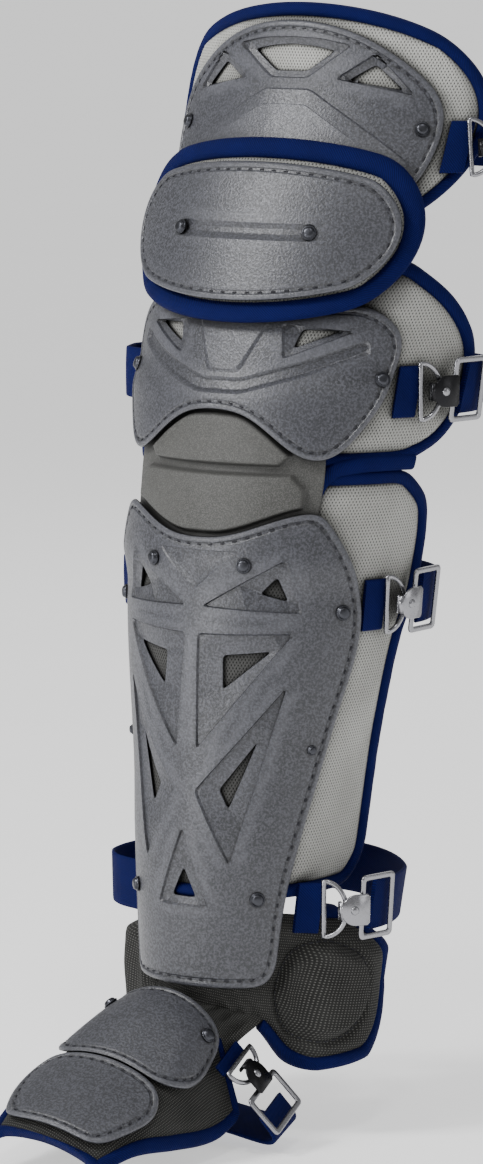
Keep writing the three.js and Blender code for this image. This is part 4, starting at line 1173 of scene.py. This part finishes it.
def foam_piece():
    """Two moulded cushions with a crease between them, from the lower-knee plate to the shin plate."""
    crease = FOAM_BOTTOM + FOAM_CREASE * FOAM_LENGTH
    grid = patch(132, 90, FOAM_HALF, FOAM_BOTTOM, FOAM_TOP, rounding=0.3)

    def notch(u):
        share = min(abs(u) / (0.85 * LOWER_KNEE_PLATE["half"]), 1)
        return LOWER_KNEE_PLATE["bottom"] + read(LOBE_EDGE, share) * LOWER_KNEE_PLATE["length"]

    def shin_top(u):
        dip = HORN_DIP * (1 - smooth(abs(u) / (0.7 * SHIN_PLATE["half"]), *HORN_SPAN))
        return SHIN_PLATE["bottom"] + SHIN_PLATE["length"] - dip

    def puff(distance):
        """A cushion's height by the distance from its edge."""
        return smooth(distance, 1.3, 4.1) * 0.96 + smooth(distance, 3.0, 16.0) * 0.2

    def outer(spot):
        above, below = spot.v - crease, crease - spot.v
        upper_side = FOAM_UPPER_HALF * FOAM_HALF - abs(spot.u)
        lower_side = FOAM_LOWER_HALF * FOAM_HALF - abs(spot.u)
        upper_corner = (above + upper_side - FOAM_UPPER_CORNER) * CORNER_SLANT
        lower_corner = (below + lower_side - FOAM_LOWER_CORNER) * CORNER_SLANT
        upper = min(notch(spot.u) - spot.v, above, upper_side, upper_corner)
        lower = min(spot.v - shin_top(spot.u), below, lower_side, lower_corner)
        return FOAM_FACE + FOAM_PUFF * max(puff(upper), puff(lower))

    piece = wall("flex_cushion", grid, leg_wrap, GAP, outer, FOAM_SKIN)
    settle(piece, ("flex_foam",))


def ankle_low(s):
    """The ankle pad's lower edge, which is higher in the middle than at its wings."""
    return SHIN_PAD["bottom"] - ANKLE_LENGTH * (1 - ANKLE_RISE * (1 - smooth(abs(s), 0.36, 0.66)))


def ankle_face(spot):
    """The ankle pad's outer face: domes with a sewn ring, gathers under the shin plate, a drawn-in edge."""
    across = (abs(spot.u) - DOME_ACROSS) * DOME_NARROWING
    reach = math.hypot(across, spot.v - DOME_AT) / DOME_RADIUS
    dome = DOME_HEIGHT * (1 - smooth(reach, 0.76, 1.02)) + 1.2 * (1 - smooth(reach, 0.0, 0.8))
    groove = -2.4 * math.exp(-((reach - 1.08) / 0.08) ** 2)
    fold = math.sin(abs(spot.u) * 0.55 + spot.v * 0.30) * smooth(abs(spot.u), 18, 34)
    gathers = 1.1 * fold * (1 - smooth(abs(spot.u), 44, 62)) * (1 - smooth(spot.v, 104, 122))
    soft = 0.5 * noise.noise(Vector((spot.u / 16, spot.v / 16, 2)))
    edge = -3.4 * (1 - smooth(spot.edge, 0, 10)) ** 1.6
    return dome + groove + gathers + soft + edge


def ankle_seam(side, sign):
    """The stitches round a dome."""
    reach = DOME_RADIUS * 1.06
    turns = [2 * math.pi * k / 72 for k in range(72)]
    middle = sign * DOME_ACROSS
    loop = [(middle + reach * math.cos(a) / DOME_NARROWING, DOME_AT + reach * math.sin(a)) for a in turns]
    stitches(f"ankle_seam_{side}", loop, ankle_wrap, -1.3, pitch=3.6, length=2.4, radius=0.35)


def ankle_piece():
    grid = patch(220, 84, ANKLE_HALF, ankle_low, SHIN_PAD["bottom"] - BINDING - 3 * GAP, rounding=0.6)

    def inner(spot):
        return -PAD + 1.5 * (1 - smooth(spot.edge, 0, 8))

    piece = wall("ankle_cushion", grid, ankle_wrap, inner, ankle_face, WEAVE)
    settle(piece, ("ankle_pad",))
    for side, sign in (("left", -1), ("right", 1)):
        def on_wing(spot, sign=sign):
            lower = spot.t < 0.5 or abs(spot.s) > 0.75
            return sign * spot.u > 0.42 * ANKLE_HALF and lower and spot.t < 0.97

        node = f"ankle_binding_{side}"
        binding_piece(f"ankle_tape_{side}", grid, ankle_wrap, BINDING, PAD, -PAD / 2, node, on_wing)
        ankle_seam(side, sign)


def eased_path(knots, steps, passes):
    """An open line through knots, with its corners eased."""
    path = [(mix(a[0], b[0], k / steps), mix(a[1], b[1], k / steps))
            for a, b in zip(knots, knots[1:]) for k in range(steps)]
    for _ in range(passes):
        middle = [((a[0] + 2 * b[0] + c[0]) / 4, (a[1] + 2 * b[1] + c[1]) / 4)
                  for a, b, c in zip(path, path[1:], path[2:])]
        path = [path[0]] + middle + [path[-1]]
    return path


def joint_tapes():
    """Tape from the gap between the two pads down to the horn of the shin plate."""
    path = eased_path(JOINT_TAPE, 8, 6)
    last = len(path) - 1
    for side, sign in (("left", -1), ("right", 1)):
        rings = []
        for k, (u, v) in enumerate(path):
            before, after = path[max(k - 1, 0)], path[min(k + 1, last)]
            run = math.hypot(after[0] - before[0], after[1] - before[1])
            across = ((before[1] - after[1]) / run, (after[0] - before[0]) / run)
            half = mix(JOINT_TAPE_HALF[0], JOINT_TAPE_HALF[1], k / last)
            ring = []
            for i in range(JOINT_TAPE_SIDES):
                turn = 2 * math.pi * i / JOINT_TAPE_SIDES * sign
                c, d = math.cos(turn), math.sin(turn)
                reach = half * math.copysign(abs(c) ** 0.6, c)
                lift = -3.2 + 4.6 * math.copysign(abs(d) ** 0.7, d)
                ring.append(leg_wrap(sign * (u + across[0] * reach), v + across[1] * reach, lift))
            rings.append(ring)
        settle(tube(f"joint_tape_{side}", rings, False, NAVY, 30))


def gusset_piece():
    """Gathered cloth that joins the ankle pad's lower edge to the foot flap's upper edge."""
    columns, rows = 120, 14
    shares = [(2 * i / columns - 1, j / rows) for j in range(rows + 1) for i in range(columns + 1)]
    ankle_at = SHIN_PAD["bottom"] - 0.70 * ANKLE_LENGTH + 9

    def hung(share, down, d):
        ankle = ankle_wrap(share * 62, ankle_at - 9 * abs(share) ** 3, -5)
        flap = foot_wrap(-share * 50, 3, -2.5)
        middle = smooth(down, 0, 0.5) * (1 - smooth(down, 0.5, 1))
        fold = 1.6 * math.sin(share * 34 + 3 * down) * middle
        out = Vector((share * 0.7, -0.7, 0.1)).normalized()
        return ankle.lerp(flap, down) + out * (fold + d - 2.5 * middle)

    grid = Grid(columns, rows, [Spot(u, v, 0, 0, 0) for u, v in shares])
    piece = wall("ankle_gusset", grid, hung, -0.8, 0.8, WEAVE)
    for loop in piece.data.uv_layers["laid"].data:
        loop.uv = (loop.uv[0] * 54, loop.uv[1] * 40)
    settle(piece)


def foot_piece():
    def half_at(v):
        return read(FOOT_SECTIONS, v / FOOT_LENGTH, 5) * FOOT_WIDTH

    grid = patch(90, 60, 1, 0, FOOT_LENGTH, rounding=0.2)
    spots = []
    for p in grid.spots:
        half = half_at(p.v)
        edge = min((1 - abs(p.s)) * half, p.v, FOOT_LENGTH - p.v)
        spots.append(p._replace(u=p.s * half, edge=edge))
    grid = grid._replace(spots=spots)

    def outer(spot):
        soft = 0.35 * noise.noise(Vector((spot.u / 14, spot.v / 14, 5)))
        return soft - 1.8 * (1 - smooth(spot.edge, 0, 9)) ** 1.5

    def off_ankle(spot):
        return abs(spot.u) > FOOT_WIDTH * 1.1 or spot.t > 0.5

    piece = wall("foot_cushion", grid, foot_wrap, -FOOT_PAD, outer, WEAVE)
    settle(piece, ("foot_pad",))
    depth = FOOT_PAD + 1.5
    binding_piece("foot_tape", grid, foot_wrap, BINDING, depth, -FOOT_PAD / 2, "foot_binding", off_ankle)


# Straps and their hardware
STRAP_STEPS = {"side": 2, "calf": 14, "end": 8}
STRAP_INSIDE = -PAD - WEBBING - 2 * GAP


def strap_wrap(wrap, start, leave, meet, to, off):
    """The strap's way: along the pad, across the calf, and back along the left side to its end."""
    side, calf, end = STRAP_STEPS["side"], STRAP_STEPS["calf"], STRAP_STEPS["end"]

    def outward(u, z):
        return (wrap(u + 0.5, z, 0) - wrap(u - 0.5, z, 0)).normalized()

    def at(w, z, d):
        within = min(off, 0)
        if w < side:
            return wrap(mix(start, leave, w / side), z, d)
        if w > side + calf:
            share = (w - side - calf) / end
            bulge = max(off, 0) * smooth(share, 0, 0.4) * (1 - smooth(share, 0.6, 1))
            return wrap(-mix(meet, to, share), z, d + within + bulge)
        first, last = wrap(leave, z, d), wrap(-meet, z, d + within)
        handle = STRAP_HANDLE + d * 4 / 3
        a, b = first + outward(leave, z) * handle, last - outward(-meet, z) * handle
        t = (w - side) / calf
        s = 1 - t
        return first * s ** 3 + a * 3 * s * s * t + b * 3 * s * t * t + last * t ** 3

    return at


def walk(wrap, u, z, length):
    """How far along a wrap a piece lies that starts at u and runs a length outward."""
    step, done = 0.25, 0.0
    while done < length:
        done += (wrap(u + step, z, 0) - wrap(u, z, 0)).length
        u += step
    return u


# Half of a webbing's section: the share of its width and how far it is under its face
WEBBING_ROWS = [
    (-0.5, 0.5), (-0.485, 0.1), (-0.45, 0), (-0.15, 0), (0.15, 0), (0.45, 0), (0.485, 0.1), (0.5, 0.5),
]


def webbing(name, path, node, steps):
    """Flat webbing with soft edges. path gives a point for shares of its length, width and thickness."""
    section = [(a, 1 - b) for a, b in WEBBING_ROWS] + list(reversed(WEBBING_ROWS[1:-1]))
    points, laid, run = [], [], 0.0
    for k in range(steps + 1):
        ring = [path(k / steps, a, b) for a, b in section]
        run += (ring[0] - points[-len(section)]).length if points else 0.0
        points += ring
        laid += [(run / 1000, a * WEBBING_WIDTH / 1000) for a, b in section]
    piece = mesh_piece(name, points, ring_faces(steps + 1, len(section), outward=False), NAVY, laid)
    sharpen(piece, 60)
    settle(piece, (node,))


# Name, height, half-widths of the plate and of the pad beside it, where an end inside the pad is, the clasp
LEG_STRAPS = (
    ("thigh", THIGH_PLATE["bottom"] + 0.30 * THIGH_PLATE["length"], THIGH_PLATE["half"],
     0, THIGH_PAD_HALF, BLACK),
    ("knee", LOWER_KNEE_PLATE["bottom"] + 0.44 * LOWER_KNEE_PLATE["length"], 0.99 * LOWER_KNEE_PLATE["half"],
     LOWER_KNEE_PAD["half"], None, BLACK),
    ("upper_shin", SHIN_PLATE["bottom"] + 0.80 * SHIN_PLATE["length"], SHIN_PLATE["half"],
     SHIN_PAD["half"], None, NICKEL),
    ("lower_shin", SHIN_PLATE["bottom"] + 0.165 * SHIN_PLATE["length"], 0.66 * SHIN_PLATE["half"],
     ANKLE_HALF, None, NICKEL),
)
LEAF_TO_FRAME = LEAF_LENGTH / 2 + FRAME_WIDTH / 2 - FRAME_BAR
# Each piece's height over the surface that the strap lies on
RING_LIFT = STRAP_INNER + GAP + WEBBING + RING_WIRE
FRAME_LIFT = STRAP_INNER + WEBBING + 2 * GAP
LEAF_LIFT = STRAP_INNER + 2 * GAP + WEBBING + 2 * RING_WIRE


def leaf_bow(radius):
    """How much higher a straight leaf lies over a round surface."""
    return (RING_DEPTH ** 2 + LEAF_LENGTH ** 2) / (2 * radius)


def leg_strap(name, height, plate, pad, within, leaf):
    flared = name == "lower_shin"
    wrap = flare_wrap if flared else leg_wrap
    radius = ANKLE_RADIUS if flared else radius_at(height)
    start = (plate * ANKLE_RADIUS / radius_at(height) if flared else plate) + 2
    ring_at = walk(wrap, start, height, TAB_LENGTH)
    leaf_at = walk(wrap, ring_at, height, RING_DEPTH)
    frame_at = walk(wrap, leaf_at, height, LEAF_TO_FRAME)
    leave = max(frame_at, pad + BINDING + 2 * GAP)
    if within:
        route = strap_wrap(wrap, frame_at, leave, within, within - 2 * TAB_LENGTH, STRAP_INSIDE)
    else:
        route = strap_wrap(wrap, frame_at, leave, leave, start, STRAP_BULGE)
    steps = sum(STRAP_STEPS.values())

    def tab_path(t, a, b):
        return wrap(mix(start, ring_at, t), height + a * WEBBING_WIDTH, STRAP_INNER + b * WEBBING)

    def strap_path(t, a, b):
        return route(t * steps, height + a * WEBBING_WIDTH, STRAP_INNER + b * WEBBING)

    webbing(f"{name}_tab_web", tab_path, f"{name}_tab", 8)
    webbing(f"{name}_strap_web", strap_path, f"{name}_strap", 96)
    matrices = {
        "ring": place_basis(wrap, ring_at, height, RING_LIFT),
        "frame": place_basis(wrap, frame_at, height, FRAME_LIFT),
        "leaf": place_basis(wrap, leaf_at, height, LEAF_LIFT + leaf_bow(radius)),
    }
    buckle(name, leaf, matrices)


def leg_straps():
    for row in LEG_STRAPS:
        leg_strap(*row)


def spline_through(knots):
    """A smooth curve through knots, as a function of the share along it."""
    last = len(knots) - 1

    def at(share):
        k = min(int(share * last), last - 1)
        s = share * last - k
        p = [knots[min(max(k + step, 0), last)] for step in (-1, 0, 1, 2)]
        if k == 0:
            p[0] = knots[0] * 2 - knots[1]
        if k == last - 1:
            p[3] = knots[last] * 2 - knots[last - 1]
        spans = [max((b - a).length, 1e-4) ** 0.5 for a, b in zip(p, p[1:])]

        def slope(i):
            across = (p[i + 2] - p[i]) / (spans[i] + spans[i + 1])
            return ((p[i + 1] - p[i]) / spans[i] - across + (p[i + 2] - p[i + 1]) / spans[i + 1]) * spans[1]

        first, second = slope(0), slope(1)
        square = (p[2] - p[1]) * 3 - first * 2 - second
        cube = (p[1] - p[2]) * 2 + first + second
        return p[1] + first * s + square * s * s + cube * s ** 3

    return at


def foot_strap():
    """The strap under the arch, with its tab and buckle on the right edge of the foot flap."""
    run = Vector((0.63, 0.37, -0.69)).normalized()
    width = Vector((-0.23, 0.93, 0.28)).normalized()
    out = run.cross(width).normalized()
    tab_at = foot_local(INSTEP_SIDES[0][1] * FOOT_PLATE_HALF + 8, 0.03 * FOOT_LENGTH, GAP)
    mirror = Vector((-1, 1, 1))

    def point(distance, lift=0.0):
        return tab_at + run * distance + out * (WEBBING + lift)

    leaf_at = FOOT_TAB_LENGTH + RING_DEPTH
    frame_at = leaf_at + LEAF_TO_FRAME
    sole = point(frame_at + 0.75 * ARCH_DEPTH)
    bend = point(frame_at + ARCH_DEPTH / 2, -WEBBING)
    under = Vector((sole.x / 2, sole.y, sole.z))
    knots = [point(frame_at), bend, under]
    knots += [p * mirror for p in (under, bend, point(frame_at), point(FOOT_TAB_LENGTH), point(0))]
    curve = spline_through(knots)

    def strap_path(t, a, b):
        along = (curve(min(t + 0.004, 1)) - curve(max(t - 0.004, 0))).normalized()
        turned = width.lerp(width * mirror, t)
        lift = along.cross(turned).normalized()
        return from_foot(curve(t) + turned * a * WEBBING_WIDTH + lift * b * WEBBING)

    def tab_path(t, a, b):
        return from_foot(point(t * FOOT_TAB_LENGTH) + width * a * WEBBING_WIDTH + out * b * WEBBING)

    webbing("foot_tab_web", tab_path, "foot_tab", 4)
    webbing("foot_strap_web", strap_path, "foot_strap", 90)
    c, s = math.cos(FOOT_ROLL), math.sin(FOOT_ROLL)
    roll = Matrix(((c, 0, s, 0), (0, 1, 0, -FOOT_START), (-s, 0, c, FOOT_HEIGHT), (0, 0, 0, 1)))
    turn = Matrix((run, out.cross(run), out)).transposed().to_4x4()
    places = {
        "ring": point(FOOT_TAB_LENGTH, RING_LIFT),
        "frame": point(frame_at, FRAME_LIFT),
        "leaf": point(leaf_at, LEAF_LIFT + leaf_bow(LEG_HEIGHT)),
    }
    matrices = {key: roll @ Matrix.Translation(place) @ turn for key, place in places.items()}
    buckle("foot", BLACK, matrices)


# The stage: a wide pale floor, soft lights and the photograph's camera
AZIMUTH = math.radians(35)
ELEVATION = math.radians(8)
CAMERA_DISTANCE = 3.0
FOCAL_PIXELS = 5263
PHOTO_HEIGHT = 1164
TARGET = placed(Vector((-6.3, -4.4, 327.5)))
SENSOR = 24.0
FLOOR_GAP = 0.004
FLOOR_REACH = 40.0


def direction(azimuth, elevation):
    c = math.cos(elevation)
    return Vector((math.sin(azimuth) * c, -math.cos(azimuth) * c, math.sin(elevation)))


def camera():
    data = bpy.data.cameras.new("camera")
    data.sensor_fit = "VERTICAL"
    data.sensor_height = SENSOR
    data.lens = FOCAL_PIXELS / PHOTO_HEIGHT * SENSOR
    eye = bpy.data.objects.new("camera", data)
    back = direction(AZIMUTH, ELEVATION)
    eye.location = TARGET + back * CAMERA_DISTANCE
    eye.rotation_euler = back.to_track_quat("Z", "Y").to_euler()
    bpy.context.collection.objects.link(eye)
    bpy.context.scene.camera = eye


def floor():
    low = float(cad_box[0][2]) - FLOOR_GAP
    mesh = bpy.data.meshes.new("floor")
    corners = [(x * FLOOR_REACH, y * FLOOR_REACH, low) for x, y in ((-1, -1), (1, -1), (1, 1), (-1, 1))]
    mesh.from_pydata(corners, [], [[0, 1, 2, 3]])
    mesh.materials.append(stage_paint())
    piece = bpy.data.objects.new("floor", mesh)
    bpy.context.collection.objects.link(piece)


def light(name, azimuth, elevation, distance, size, power):
    data = bpy.data.lights.new(name, "AREA")
    data.energy = power
    data.size = size
    lamp = bpy.data.objects.new(name, data)
    towards = direction(math.radians(azimuth), math.radians(elevation))
    lamp.location = TARGET + towards * distance
    lamp.rotation_euler = towards.to_track_quat("Z", "Y").to_euler()
    bpy.context.collection.objects.link(lamp)


# Name, azimuth and elevation in degrees, distance and size in metres, power in watts
LIGHTS = (
    ("key", -34, 44, 2.0, 0.5, 27),
    ("fill", 105, 12, 2.6, 1.0, 6),
    ("strip", -20, 9, 2.0, 0.42, 14),
    ("top", 40, 62, 2.2, 0.3, 8),
    ("back", 200, 35, 2.6, 1.6, 12),
)
WORLD_STRENGTH = 0.42


def lights():
    for row in LIGHTS:
        light(*row)
    world = bpy.data.worlds.new("studio")
    world.use_nodes = True
    background = world.node_tree.nodes["Background"]
    background.inputs["Color"].default_value = (1, 1, 1, 1)
    background.inputs["Strength"].default_value = WORLD_STRENGTH
    bpy.context.scene.world = world


camera()
floor()
lights()
thigh_plate()
knee_plate()
lower_knee_plate()
shin_plate()
foot_plates()
leg_pads()
foam_piece()
joint_tapes()
ankle_piece()
gusset_piece()
foot_piece()
leg_straps()
foot_strap()
